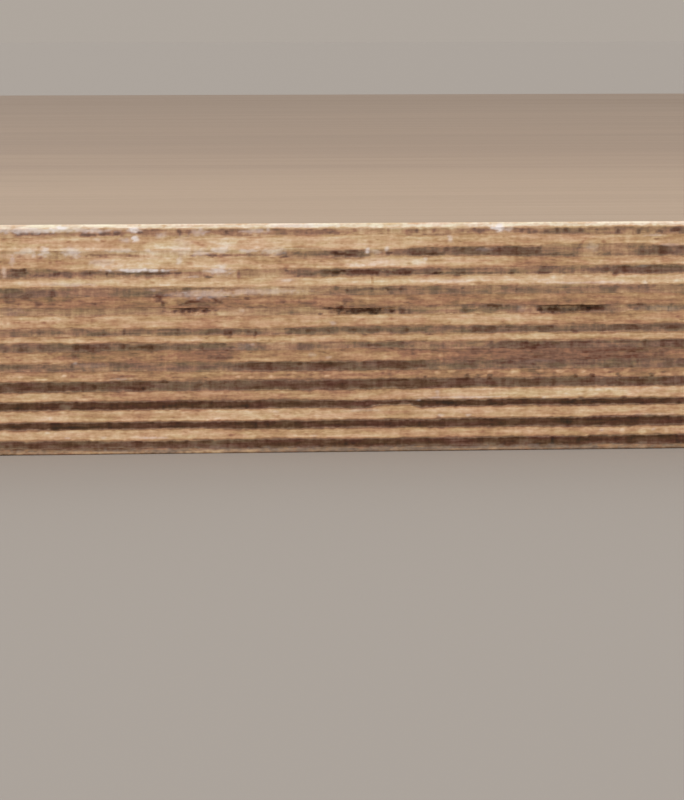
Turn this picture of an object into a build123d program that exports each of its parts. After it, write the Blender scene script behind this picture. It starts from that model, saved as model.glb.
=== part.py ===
from build123d import *

import os
from collections import namedtuple

# A full sheet of hardwood multi-ply plywood, lying flat with its face grain along its length.
#
# The sheet is 25 rotary-cut veneers glued face to face. The grain of each veneer crosses the grain
# of the next: the odd plies run along the sheet and the even ones run across it. The lay-up is the
# same above and below the centre veneer, which keeps the sheet flat. The two face veneers are
# sanded thin, and their outer arrises are eased. The sheet is sawn square on all four sides, and
# the saw has torn three shallow bites out of one cross veneer on the front edge.
#
# The frame is in millimetres with +Z up. The origin is the centre of the bottom face, +X runs along
# the sheet and its face grain, and the front long edge faces -Y. Plies are numbered from the top.

# The sheet's outline, in the size that such sheets are sold in.
SHEET_LENGTH = 2440.0
SHEET_WIDTH = 1220.0

# Veneer thicknesses, as pressed and sanded.
FACE_VENEER = 0.7
CROSS_VENEER = 1.25
LONG_VENEER = 1.75
CENTRE_VENEER = 1.1

# How many cross veneers lie between a face veneer and the centre veneer.
CROSS_VENEERS_A_SIDE = 6

# The rounding of each face veneer's outer arrises, which leaves some of the veneer's edge square.
ARRIS_RADIUS = 0.3
MOST_OF_FACE_VENEER = 0.8

# A bite that the saw tore from the cut end of a cross veneer: its middle along the front edge, its
# length there and how far in it goes. It stops at the glue lines, so it is as high as the veneer.
TearOut = namedtuple("TearOut", "middle length depth")
TEAR_OUTS = (
    TearOut(middle=-22.8, length=7.5, depth=0.7),
    TearOut(middle=2.7, length=12.0, depth=1.2),
    TearOut(middle=35.3, length=11.0, depth=1.1),
)

# The torn cross veneer is this many plies above the centre veneer.
TORN_ABOVE_CENTRE = 3

Ply = namedtuple("Ply", "name thickness bottom")


def half_lay_up():
    """The kind and thickness of each veneer, from a face veneer to the one beside the centre."""
    veneers = [("face", FACE_VENEER), ("cross", CROSS_VENEER)]
    for _ in range(CROSS_VENEERS_A_SIDE - 1):
        veneers.append(("long", LONG_VENEER))
        veneers.append(("cross", CROSS_VENEER))
    return veneers


def lay_up():
    """Every ply from the top face down, with the height of its underside above the bottom face."""
    half = half_lay_up()
    veneers = half + [("centre", CENTRE_VENEER)] + half[::-1]
    height = sum(thickness for _, thickness in veneers)
    plies = []
    for number, (kind, thickness) in enumerate(veneers, start=1):
        height -= thickness
        plies.append(Ply(f"ply_{number:02d}_{kind}", thickness, height))
    return plies


def sawn_veneer(ply):
    """One veneer as a flat slab with square sides, at its height in the stack."""
    on_its_underside = (Align.CENTER, Align.CENTER, Align.MIN)
    slab = Box(SHEET_LENGTH, SHEET_WIDTH, ply.thickness, align=on_its_underside)
    return Pos(0, 0, ply.bottom) * slab


def ease_arrises(slab, outer_face):
    """Rounds the four arrises round a face veneer's outer face."""
    radius = min(ARRIS_RADIUS, MOST_OF_FACE_VENEER * FACE_VENEER)
    return fillet(outer_face.edges(), radius)


def missing_wood(bite, ply):
    """The wood that a bite takes: a round scoop whose chord on the front edge is its length."""
    radius = (bite.length**2 / 4 + bite.depth**2) / (2 * bite.depth)
    on_its_underside = (Align.CENTER, Align.CENTER, Align.MIN)
    scoop = Cylinder(radius, ply.thickness, align=on_its_underside)
    front = -SHEET_WIDTH / 2
    return Pos(bite.middle, front + bite.depth - radius, ply.bottom) * scoop


def make_sheet():
    """Every ply's solid by its name, from the top face down."""
    plies = lay_up()
    solids = [sawn_veneer(ply) for ply in plies]
    solids[0] = ease_arrises(solids[0], solids[0].faces().sort_by(Axis.Z)[-1])
    solids[-1] = ease_arrises(solids[-1], solids[-1].faces().sort_by(Axis.Z)[0])
    torn = len(plies) // 2 - TORN_ABOVE_CENTRE
    for bite in TEAR_OUTS:
        solids[torn] -= missing_wood(bite, plies[torn])
    return {ply.name: solid for ply, solid in zip(plies, solids)}


def main():
    os.makedirs("parts", exist_ok=True)
    for name, solid in make_sheet().items():
        solid.label = name
        export_step(solid, f"parts/{name}.step")
    thickness = sum(ply.thickness for ply in lay_up())
    print(f"sheet {SHEET_LENGTH:g} x {SHEET_WIDTH:g} x {thickness:g} mm")


main()
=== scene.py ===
# %% [markdown]
# # A sheet of multi-ply plywood, dressed ply by ply
#
# The real object is a stack of 25 rotary-cut veneers, glued so that the grain of each one crosses
# the grain of the next. The imported model holds the stack as 25 plain slabs. This lesson gives
# each slab the edge that a saw leaves, the grain of its own direction and the marks of wear, and
# it never changes where a ply lies or how large it is.
#
# The model comes first, because every ply is built around its own slab. Its box is kept, and
# gives the sheet's size, its front edge and its top face.

# %% Load the imported model
import math
from collections import namedtuple

import bpy
import numpy as np
from mathutils import Matrix, Vector
from mathutils.geometry import delaunay_2d_cdt


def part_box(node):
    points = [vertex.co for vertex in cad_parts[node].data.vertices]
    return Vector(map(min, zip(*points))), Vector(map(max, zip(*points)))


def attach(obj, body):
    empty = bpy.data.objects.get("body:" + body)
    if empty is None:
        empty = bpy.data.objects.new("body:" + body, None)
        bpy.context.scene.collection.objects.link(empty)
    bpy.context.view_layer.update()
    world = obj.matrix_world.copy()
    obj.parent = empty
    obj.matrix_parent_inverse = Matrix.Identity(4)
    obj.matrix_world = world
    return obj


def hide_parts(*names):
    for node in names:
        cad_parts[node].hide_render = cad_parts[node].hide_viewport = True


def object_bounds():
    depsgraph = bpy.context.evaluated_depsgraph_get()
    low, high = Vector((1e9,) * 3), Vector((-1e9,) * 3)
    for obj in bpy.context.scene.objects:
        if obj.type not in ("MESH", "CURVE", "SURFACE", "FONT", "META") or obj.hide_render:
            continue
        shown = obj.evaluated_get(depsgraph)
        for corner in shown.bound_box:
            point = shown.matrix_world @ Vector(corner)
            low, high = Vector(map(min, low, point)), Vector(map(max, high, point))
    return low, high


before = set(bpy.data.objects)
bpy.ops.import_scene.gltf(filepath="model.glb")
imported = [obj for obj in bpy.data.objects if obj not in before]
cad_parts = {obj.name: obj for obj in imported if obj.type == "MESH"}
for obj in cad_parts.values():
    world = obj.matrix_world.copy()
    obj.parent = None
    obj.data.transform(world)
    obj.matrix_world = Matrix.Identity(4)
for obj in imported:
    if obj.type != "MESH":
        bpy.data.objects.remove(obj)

MM = 0.001
cad_low, cad_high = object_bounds()
LENGTH, WIDTH, THICKNESS = cad_high - cad_low
FRONT = cad_low.y
TOP = cad_high.z
print(f"sheet {LENGTH:.3f} x {WIDTH:.3f} x {THICKNESS:.3f} m in {len(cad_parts)} plies")

# %% [markdown]
# ## The camera
#
# A close view of a sheet's edge needs a long lens near the level of the top face. The edge then
# fills the picture's width and the face runs back as a narrow band. The eye's place and turn are
# real measures from the front edge. A camera in Blender looks along its own -Z with +Y up, so its
# matrix is put together from three directions: right, up and back.

# %% Place the camera
EYE_ABOVE_FACE = 27.4 * MM
EYE_BEFORE_EDGE = 500 * MM
LOOK_DOWN = math.radians(6.192)
LOOK_RIGHT = math.radians(4.27)
ROLL = math.radians(-0.10)
LENS = 148.7
SENSOR = 36.0
NEAREST_SEEN, FARTHEST_SEEN = 10 * MM, 500


def put_in_scene(name, data):
    """A new object of the scene that shows the given camera, light or mesh."""
    thing = bpy.data.objects.new(name, data)
    bpy.context.scene.collection.objects.link(thing)
    return thing


def make_camera():
    """The camera at its eye point, looking at the middle of the front edge."""
    camera = put_in_scene("camera", bpy.data.cameras.new("camera"))
    camera.data.lens = LENS
    camera.data.sensor_width = SENSOR
    camera.data.clip_start = NEAREST_SEEN
    camera.data.clip_end = FARTHEST_SEEN
    level = Vector((math.sin(LOOK_RIGHT), math.cos(LOOK_RIGHT), 0))
    right = Vector((math.cos(LOOK_RIGHT), -math.sin(LOOK_RIGHT), 0))
    forward = math.cos(LOOK_DOWN) * level - Vector((0, 0, math.sin(LOOK_DOWN)))
    up = right.cross(forward)
    rolled_right = math.cos(ROLL) * right + math.sin(ROLL) * up
    rolled_up = math.cos(ROLL) * up - math.sin(ROLL) * right
    turn = Matrix((rolled_right, rolled_up, -forward)).transposed().to_4x4()
    sideways = -EYE_BEFORE_EDGE * math.tan(LOOK_RIGHT)
    eye = Vector((sideways, FRONT - EYE_BEFORE_EDGE, TOP + EYE_ABOVE_FACE))
    camera.matrix_world = Matrix.Translation(eye) @ turn
    return camera


bpy.context.scene.camera = make_camera()
print("camera at", [round(v, 3) for v in bpy.context.scene.camera.matrix_world.translation])

# %% [markdown]
# ## The light, the floor and the background
#
# A studio lights such a sample with large soft lamps, so that colours read plainly and the saw
# marks still cast small shades. Suns with a wide angle stand for the softboxes: a sun is as
# bright at both ends of a long sheet, which an area lamp isn't. A white surface that faces a sun
# of share 0.5 shows half of full white. The world fills in the rest. Its colour for the camera
# and for reflections is the backdrop's pale warm grey, and the floor has nearly the same one.

# %% Light the scene
SKY_SHARE = 0.55
BACKDROP = (0.685, 0.652, 0.618)
FLOOR_COLOUR = (0.670, 0.637, 0.605)
FLOOR_ROUGHNESS, FLOOR_SHINE = 0.95, 0.1
FLOOR_SIZE = 600
FLOOR_GAP = 0.02 * MM
Softbox = namedtuple("Softbox", "name towards share angle")
SOFTBOXES = (
    Softbox("key", (-0.42, -0.50, 0.75), 0.38, 22),
    Softbox("front_fill", (0.45, -0.85, 0.28), 0.33, 40),
    Softbox("back_fill", (-0.45, 0.78, 0.44), 0.16, 40),
)


def linear(colour):
    """The linear colour that a shader needs, from one written as it shows on the screen. A part c
    of it becomes ((c + 0.055) / 1.055)^2.4, or c / 12.92 near black."""
    shown = np.asarray(colour, float)
    bright = ((shown + 0.055) / 1.055) ** 2.4
    return (*np.where(shown <= 0.04045, shown / 12.92, bright), 1.0)


def make_softbox(box):
    """A sun that shines from the box's direction, with an energy of pi for a share of one."""
    lamp = bpy.data.lights.new(box.name, "SUN")
    lamp.energy = box.share * math.pi
    lamp.angle = math.radians(box.angle)
    turn = Vector(box.towards).to_track_quat("Z", "Y").to_euler()
    put_in_scene(box.name, lamp).rotation_euler = turn


def plug(tree, socket, value):
    """Links a socket to another node's output, or gives it a fixed value."""
    if isinstance(value, bpy.types.NodeSocket):
        tree.links.new(value, socket)
    else:
        socket.default_value = value


def add_node(tree, kind, sockets, **settings):
    """A new node with its sockets plugged. They go by name or, where a node has several of one
    name, by number."""
    node = tree.nodes.new(kind)
    for name, value in settings.items():
        setattr(node, name, value)
    for key, value in sockets.items():
        plug(tree, node.inputs[key], value)
    return node


def make_world():
    """A world whose light is neutral white, and which shows the backdrop's colour to the camera
    and in reflections."""
    world = bpy.data.worlds.new("studio")
    world.use_nodes = True
    tree = world.node_tree
    tree.nodes.clear()
    rays = add_node(tree, "ShaderNodeLightPath", {}).outputs
    seen = rays["Is Camera Ray"]
    for other in ("Is Glossy Ray", "Is Transmission Ray"):
        sockets = {0: seen, 1: rays[other]}
        seen = add_node(tree, "ShaderNodeMath", sockets, operation="MAXIMUM").outputs[0]
    white = {"Color": (1, 1, 1, 1), "Strength": SKY_SHARE}
    light = add_node(tree, "ShaderNodeBackground", white).outputs[0]
    backdrop = add_node(tree, "ShaderNodeBackground", {"Color": linear(BACKDROP)}).outputs[0]
    choice = add_node(tree, "ShaderNodeMixShader", {"Fac": seen, 1: light, 2: backdrop})
    add_node(tree, "ShaderNodeOutputWorld", {"Surface": choice.outputs[0]})
    bpy.context.scene.world = world


def make_floor():
    """A square just under the sheet, wide enough to reach the horizon in every view."""
    half = FLOOR_SIZE / 2
    mesh = bpy.data.meshes.new("floor")
    corners = [(-half, -half, 0), (half, -half, 0), (half, half, 0), (-half, half, 0)]
    mesh.from_pydata(corners, [], [(0, 1, 2, 3)])
    paint = bpy.data.materials.new("floor_paint")
    paint.use_nodes = True
    shader = paint.node_tree.nodes["Principled BSDF"]
    shader.inputs["Base Color"].default_value = linear(FLOOR_COLOUR)
    shader.inputs["Roughness"].default_value = FLOOR_ROUGHNESS
    shader.inputs["Specular IOR Level"].default_value = FLOOR_SHINE
    mesh.materials.append(paint)
    floor = put_in_scene("floor", mesh)
    floor.location.z = -FLOOR_GAP


bpy.context.scene.view_settings.view_transform = "Standard"
for softbox in SOFTBOXES:
    make_softbox(softbox)
make_world()
make_floor()
print(f"{len(SOFTBOXES)} softboxes, a sky of {SKY_SHARE} and a floor of {FLOOR_SIZE} m")

# %% [markdown]
# ## The stack
#
# Plies are numbered from the top face down. The odd ones, with the two faces and the centre, have
# their grain along the sheet, and the even ones across it. So on the long edges the odd plies
# show the side of their fibres, pale and streaky, and the even ones their cut ends, which are
# dark, as a bundle of open straws is. On the short ends the two swap.
#
# The tones below are given as a pair for each ply from the top one down: that of its side
# grain and that of its end grain. A tone is how bright the wood shows, from 0 for black to 1 for
# white, and one ramp of wood colours, made further on, turns it into a colour.

# %% Read the stack from the imported model
Ply = namedtuple("Ply", "name number low high along_sheet")
# Ply 1's side-grain tone is raised to a painted highlight on its pale arris. Towards the bottom of
# the stack the tones fall: the lower plies, ply 25 most, are darkened by painted shade of the
# sheet's lower edge.
EDGE_TONES_AND_PAINTED_LIGHT = (
    (0.85, 0.62), (0.64, 0.55), (0.69, 0.36), (0.62, 0.54), (0.67, 0.34), (0.64, 0.51),
    (0.71, 0.38), (0.6, 0.47), (0.53, 0.3), (0.62, 0.47), (0.63, 0.35), (0.66, 0.41), (0.64, 0.36),
    (0.6, 0.44), (0.52, 0.28), (0.63, 0.4), (0.54, 0.33), (0.66, 0.31), (0.64, 0.38), (0.61, 0.25),
    (0.66, 0.34), (0.64, 0.26), (0.64, 0.36), (0.6, 0.27), (0.48, 0.4),
)


def read_stack():
    """Every ply with the heights of its faces, from the top one down."""
    plies = []
    for name in sorted(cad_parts):
        low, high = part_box(name)
        number = int(name.split("_")[1])
        plies.append(Ply(name, number, low.z, high.z, along_sheet=number % 2 == 1))
    return plies


stack = read_stack()
print(f"{len(stack)} plies, the top one {1000 * (stack[0].high - stack[0].low):.2f} mm thick")

# %% [markdown]
# ## The ring of columns round the sheet
#
# Each ply is a closed ribbon round the sheet with a lid at the top and at the bottom. The ribbon
# is a grid: columns stand round the outline, rows lie one above the other. The columns are a
# fifth of a millimetre apart at the middle of the front edge, where the camera is close, and each
# gap further out is a little longer than the last, up to several millimetres. All plies share the
# columns, so neighbours meet without cracks.

# %% Set out the columns
CLOSE_UP = 56 * MM
FINE_GAP = 0.2 * MM
GAP_GROWTH = 1.04
WIDE_GAP = 9 * MM
CORNER_GAP = 0.4 * MM
FRONT_SIDE = 0
Ring = namedtuple("Ring", "x y out_x out_y side travel gap")


def graded_stations(length):
    """Distances along the front edge. The gaps are even over the close-up and then grow: the
    n-th gap past it is FINE_GAP times GAP_GROWTH to the power n, up to WIDE_GAP."""
    fine = np.full(round(CLOSE_UP / FINE_GAP), FINE_GAP)
    count = math.ceil(math.log(WIDE_GAP / FINE_GAP) / math.log(GAP_GROWTH))
    growing = FINE_GAP * GAP_GROWTH ** np.arange(1, count + 1)
    left = length / 2 - fine.sum() - growing.sum()
    wide = np.full(math.ceil(left / WIDE_GAP), left / math.ceil(left / WIDE_GAP))
    outwards = np.cumsum(np.concatenate([fine, growing, wide]))
    return length / 2 + np.concatenate([-outwards[::-1], [0.0], outwards])


def even_stations(length):
    """Distances along another side, evenly spaced at about WIDE_GAP."""
    return np.linspace(0, length, math.ceil(length / WIDE_GAP) + 1)


def with_corners(stations):
    """The stations with one more close to each corner, but without the next side's corner."""
    last = stations[-1]
    return np.concatenate([[0.0, CORNER_GAP], stations[1:-1], [last - CORNER_GAP]])


def make_ring():
    """The columns in order round the sheet, anticlockwise from the front left corner. A column's
    outward direction is its side's normal, and at a corner the sum of both sides' normals."""
    along = [with_corners(graded_stations(LENGTH))]
    along += [with_corners(even_stations(side)) for side in (WIDTH, LENGTH, WIDTH)]
    start = [(-1, -1), (1, -1), (1, 1), (-1, 1)]
    step = [(1, 0), (0, 1), (-1, 0), (0, -1)]
    normal = [(0, -1), (1, 0), (0, 1), (-1, 0)]
    parts = []
    for side, stations in enumerate(along):
        x = start[side][0] * LENGTH / 2 + step[side][0] * stations
        y = start[side][1] * WIDTH / 2 + step[side][1] * stations
        out = np.tile(np.array(normal[side], float), (len(stations), 1))
        out[0] += normal[side - 1]
        parts.append(np.column_stack([x, y, out, np.full(len(stations), side)]))
    x, y, out_x, out_y, side = np.concatenate(parts).T
    gap = np.hypot(np.roll(x, -1) - x, np.roll(y, -1) - y)
    travel = np.concatenate([[0.0], np.cumsum(gap)[:-1]])
    return Ring(x, y, out_x, out_y, side.astype(int), travel, np.maximum(gap, np.roll(gap, 1)))


ring = make_ring()
in_front = (ring.side == FRONT_SIDE).astype(float)
print(f"{len(ring.x)} columns round the sheet, {2 * round(CLOSE_UP / FINE_GAP)} of them close up")

# %% [markdown]
# ## Smooth random fields
#
# Wood never repeats, so shapes and tones need randomness, but a rough table of random numbers
# looks like static. A lattice of seeded random values, blended smoothly from point to point,
# gives soft hills instead. Stretching its coordinates makes fibres, and adding layers of it makes
# grain. The finest relief fades away where the columns are too far apart to show it.

# %% A random field and two soft switches
LATTICE = 512
CLOSE_UP_FADE = 20 * MM
WIDEST_FINE_GAP = 0.6 * MM


def field(u, v, seed):
    """Soft random hills between -1 and 1. Each point blends the four lattice values round it,
    with the weight 3t^2 - 2t^3 of how far it is across the cell."""
    lattice = np.random.default_rng(seed).uniform(-1, 1, (LATTICE, LATTICE))
    u, v = np.broadcast_arrays(u, v)
    column, row = np.floor(u).astype(int), np.floor(v).astype(int)
    s, t = u - column, v - row
    s, t = s * s * (3 - 2 * s), t * t * (3 - 2 * t)
    left, right = column % LATTICE, (column + 1) % LATTICE
    below, above = row % LATTICE, (row + 1) % LATTICE
    low = lattice[left, below] * (1 - s) + lattice[right, below] * s
    high = lattice[left, above] * (1 - s) + lattice[right, above] * s
    return low * (1 - t) + high * t


def rise(value, low, high):
    """A soft switch: 0 up to low, 1 from high on, and an S-curve between."""
    t = np.clip((value - low) / (high - low), 0, 1)
    return t * t * (3 - 2 * t)


def between(value, low, high, fade):
    """A soft window: 1 between low and high, falling to 0 over the fade outside each."""
    return rise(value, low - fade, low) * (1 - rise(value, high, high + fade))


close_up = between(ring.x, -CLOSE_UP, CLOSE_UP, CLOSE_UP_FADE) * in_front
fine_enough = np.clip(WIDEST_FINE_GAP / ring.gap, 0, 1)
print(f"{LATTICE} x {LATTICE} random values, {fine_enough.mean():.0%} of the fine relief is kept")

# %% [markdown]
# ## Glue lines that wander
#
# A veneer is peeled from a turning log and pressed hot, so its thickness wanders by a tenth of a
# millimetre or so and its neighbours follow. A few long waves over the sheet, each with its own
# direction and phase, give that wander. It is a function of the place alone, so it runs on round
# the corners, and both plies at a glue line use the same one. It fades out towards the two faces,
# which are sanded flat. On the close part of the front edge the waves are calmer, and the shifts
# that can be seen there are listed instead, by the number of the ply above the glue line: where a
# shift starts and ends, how long it takes to fade and how far it goes up, all in millimetres.
# Last come short bends, each with its length, its height and the seed of its random field.

# %% Let the glue lines wander
WAVES = 7
SHORTEST_WAVE, LONGEST_WAVE = 9 * MM, 420 * MM
SHARED_WANDER, OWN_WANDER = 0.10 * MM, 0.055 * MM
WAVE_TURN = 0.5
SHORT_WAVE_SHARE = 0.4
WAVE_GAIN = 1.6
SHARED_SEED, OWN_SEEDS = 1000, 2000
CLOSE_CALM = 0.6
STILL_AT_FACES, STRAIGHT_AT_FACES = 3.5 * MM, 1 * MM
BENDS = ((0.9, 0.03, 81), (2.6, 0.035, 82))
SHIFTS = {
    1: [(-80, -33, 4, 0.08), (-8, 35, 5, -0.08)],
    2: [(-9, -1, 4, 0.12), (1, 8, 2, 0.22), (18, 27, 3, 0.25)],
    3: [(-80, 8, 4, -0.28), (-8, -4, 3, 0.28), (33, 46, 4, 0.35)],
    4: [(-80, 80, 9, -0.17), (-7, 2, 3, -0.25), (29, 80, 4, -0.2)],
    5: [(-80, 27, 2, -0.17), (-80, -45, 3, 0.3), (37, 80, 3, 0.1)],
    6: [(-80, 80, 9, -0.1), (-80, 7, 5, -0.14)],
    7: [(-80, 80, 9, 0.14)],
    9: [(0, 7, 3, -0.2), (18, 26, 3, 0.2)],
    10: [(-80, -44, 3, 0.2), (-35, -27, 3, 0.25), (45, 80, 3, 0.25)],
    11: [(-36, -8, 5, -0.17)],
    13: [(-80, -44, 3, 0.15)],
    14: [(-35, -18, 4, 0.15), (0, 8, 3, 0.25)],
    16: [(-24, 80, 6, -0.17)],
    17: [(-80, 80, 9, 0.22)],
    18: [(-80, 2, 6, -0.12)],
    19: [(-80, -8, 8, 0.15), (6, 11, 3, -0.05)],
    20: [(-80, -2, 5, 0.08), (6, 10, 2.5, 0.45), (17, 80, 4, 0.18)],
    21: [(16, 80, 2, 0.08), (38, 80, 1, 0.09)],
    22: [(-80, -20, 9, 0.1), (32, 44, 4, -0.15)],
    23: [(-80, 80, 9, 0.12), (-20, -6, 4, 0.08), (-80, -38.6, 0.6, 0.16), (38.3, 80, 0.6, 0.16)],
    24: [(-80, 80, 9, 0.14), (-80, -27, 6, 0.14)],
}


def wander(ply_above, x, y):
    """How far a glue line lies above its nominal height. All glue lines share one set of waves
    A sin(2 pi (x cos a + y sin a) / L + p), and each has as many of its own."""
    total = np.zeros_like(x)
    long = np.geomspace(SHORTEST_WAVE, LONGEST_WAVE, WAVES)
    for seed, height in ((SHARED_SEED, SHARED_WANDER), (OWN_SEEDS + ply_above, OWN_WANDER)):
        rng = np.random.default_rng(seed)
        turn = rng.uniform(-WAVE_TURN, WAVE_TURN, WAVES)
        phase = rng.uniform(0, 2 * math.pi, WAVES)
        size = rng.uniform(0.5, 1.0, WAVES) * np.linspace(SHORT_WAVE_SHARE, 1.0, WAVES)
        for k in range(WAVES):
            way = x * math.cos(turn[k]) + y * math.sin(turn[k])
            wave = np.sin(2 * math.pi * way / long[k] + phase[k])
            total += height / WAVES * WAVE_GAIN * size[k] * wave
    return total


def small_wander(ply_above):
    """The short bends of a glue line, where the columns are close enough to show them."""
    bends = (up * field(ring.travel / (long * MM), ply_above, seed) for long, up, seed in BENDS)
    return sum(bends) * MM * fine_enough


def glue_line(ply_above):
    """The height of the glue line under a ply at every column."""
    height = stack[ply_above - 1].low
    room = min(height, THICKNESS - height)
    calm = rise(room, 0, STILL_AT_FACES) * (1 - CLOSE_CALM * close_up)
    line = height + wander(ply_above, ring.x, ring.y) * calm
    line += small_wander(ply_above) * rise(room, 0, STRAIGHT_AT_FACES)
    for start, end, fade, up in SHIFTS.get(ply_above, ()):
        line += up * MM * between(ring.x / MM, start, end, fade) * in_front
    return line


heights = [np.full(len(ring.x), TOP)]
heights += [glue_line(ply.number) for ply in stack[:-1]]
heights += [np.zeros(len(ring.x))]
spread = max(np.ptp(line) for line in heights)
print(f"{len(heights)} levels, the glue lines wander by up to {1000 * spread:.2f} mm")

# %% [markdown]
# ## The sawn edge
#
# A circular saw leaves faint arcs that run through all the plies, because its teeth don't care
# where one veneer ends. Within a ply the cut depends on the grain. Cut ends are a rough carpet of
# broken straws that lies a little back. Fibres cut along their length leave long shallow streaks.
# At each glue line there is a hair-thin groove. All of it goes inwards from the sheet's outline,
# so the sheet keeps its size.
#
# In one cross veneer the saw tore three bites out of the front edge. Their places and depths are
# the solid's own, and here they get ragged. Small chips are knocked out of the top arris. Bites
# and chips are listed with their middle along the edge, their length and their depth, in
# millimetres. The random fields are read far apart for the plies, so that no ply repeats
# another's relief.

# %% Shape the sawn edge
SAW_RADIUS = 150 * MM
SAW_PITCH, SAW_DEPTH = 1.7 * MM, 0.022 * MM
SLOW_PITCHES = 6.3
STRAW_ALONG, STRAW_UP, STRAW_DEPTH = 0.65 * MM, 0.50 * MM, 0.06 * MM
FIBRE_ALONG, FIBRE_UP, FIBRE_DEPTH = 5.0 * MM, 0.28 * MM, 0.035 * MM
END_SET_BACK, SIDE_SET_BACK = 0.035 * MM, 0.015 * MM
SLOW_SET_BACK = 14 * MM
GROOVE = 0.02 * MM
RELIEF_FADE = 0.30
CALM_CORNER = 3 * MM
FIELD_STEP = 37.3
BITE_EDGE = 0.12
Bite = namedtuple("Bite", "middle length depth")
BITES = (Bite(-22.8, 7.5, 0.7), Bite(2.7, 12.0, 1.2), Bite(35.3, 11.0, 1.1))
BITTEN_PLY = 10
ArrisChip = namedtuple("ArrisChip", "middle length depth")
ARRIS_CHIPS = (
    ArrisChip(24.1, 3.0, 0.34), ArrisChip(-31.7, 2.2, 0.24), ArrisChip(-43.2, 4.4, 0.24),
    ArrisChip(-48.3, 2.4, 0.14), ArrisChip(-51.4, 1.8, 0.12), ArrisChip(7.0, 1.6, 0.08),
    ArrisChip(44.0, 2.2, 0.09),
)


def saw_marks(z):
    """The arcs of the saw: a random depth that depends on how far round the sheet the arc through
    a point starts. An arc of radius R bows by h^2 / 2R at a height h from the blade's middle."""
    bow = (z - THICKNESS / 2) ** 2 / (2 * SAW_RADIUS)
    start = ring.travel + bow
    fine = field(start / SAW_PITCH, 0.5, seed=11)
    slow = field(start / (SAW_PITCH * SLOW_PITCHES), 0.5, seed=12)
    return SAW_DEPTH * (1 + 0.6 * fine + 0.4 * slow)


def bite_depth(across):
    """How deep the bites are at each point of the torn ply: the solid's round scoop, which is
    sqrt(R^2 - x^2) - (R - depth) deep at x, times a ragged share, and shut near the glue."""
    total = np.zeros(np.broadcast_shapes(ring.x.shape, across.shape))
    x = ring.x / MM
    for bite in BITES:
        radius = (bite.length**2 / 4 + bite.depth**2) / (2 * bite.depth)
        away = np.minimum(np.abs(x - bite.middle), bite.length / 2)
        scoop = np.sqrt(radius**2 - away**2) - (radius - bite.depth)
        ragged = 0.72 + 0.28 * field(x / 0.5, across * 3.0, seed=31)
        total = np.maximum(total, np.maximum(scoop, 0) * ragged)
    shut = BITE_EDGE * (1 + 0.6 * field(x / 0.9, 0.5, seed=32))
    mouth = rise(across, 0, shut) * (1 - rise(across, 1 - shut, 1))
    return total * MM * mouth * in_front


def chip_depth():
    """How far the top arris is knocked in at each column: a ragged hump for each chip."""
    x = ring.x / MM
    total = np.zeros_like(x)
    for chip in ARRIS_CHIPS:
        away = np.clip(np.abs(x - chip.middle) / (chip.length / 2), 0, 1)
        hump = (1 - away**2) * (0.75 + 0.25 * field(x / 0.35, 0.5, seed=41))
        total = np.maximum(total, chip.depth * hump)
    return total * MM * in_front


def cut_across(ply):
    """For the four sides in order, whether the saw cut across this ply's fibres there."""
    return np.array([not ply.along_sheet, ply.along_sheet] * 2)


def edge_depth(ply, z, across):
    """How far each point of a ply's ribbon lies inside the outline. At the glue lines, where
    across is 0 or 1, only the saw's arcs and the groove are left, so that neighbours meet."""
    inside = between(across, RELIEF_FADE, 1 - RELIEF_FADE, RELIEF_FADE)
    own = ply.number * FIELD_STEP
    straws = 0.6 * field(ring.travel / STRAW_ALONG, z / STRAW_UP + own, seed=21)
    straws += 0.4 * field(ring.travel / STRAW_ALONG * 2.3, z / STRAW_UP * 2.1 + own, seed=22)
    fibres = field(ring.travel / FIBRE_ALONG, z / FIBRE_UP + own, seed=23)
    slow = field(ring.travel / SLOW_SET_BACK, own + across * 0.7, seed=24)
    end_relief = END_SET_BACK * (1 + 0.5 * slow)
    end_relief += STRAW_DEPTH * fine_enough * (0.6 + 0.5 * straws)
    side_relief = SIDE_SET_BACK * (1 + 0.5 * slow) + FIBRE_DEPTH * (0.6 + 0.5 * fibres)
    relief = np.where(cut_across(ply)[ring.side], end_relief, side_relief)
    depth = saw_marks(z) + GROOVE * (1 - inside) + inside * relief
    if ply.number == BITTEN_PLY:
        depth = depth + bite_depth(across)
    if ply.number == 1:
        depth = depth + chip_depth() * rise(across, 0.0, 0.5)
    from_ends, from_sides = LENGTH / 2 - np.abs(ring.x), WIDTH / 2 - np.abs(ring.y)
    return depth * rise(np.maximum(from_ends, from_sides), 0, CALM_CORNER)


print(f"{len(BITES)} bites in ply {BITTEN_PLY} and {len(ARRIS_CHIPS)} chips on the top arris")
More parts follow.
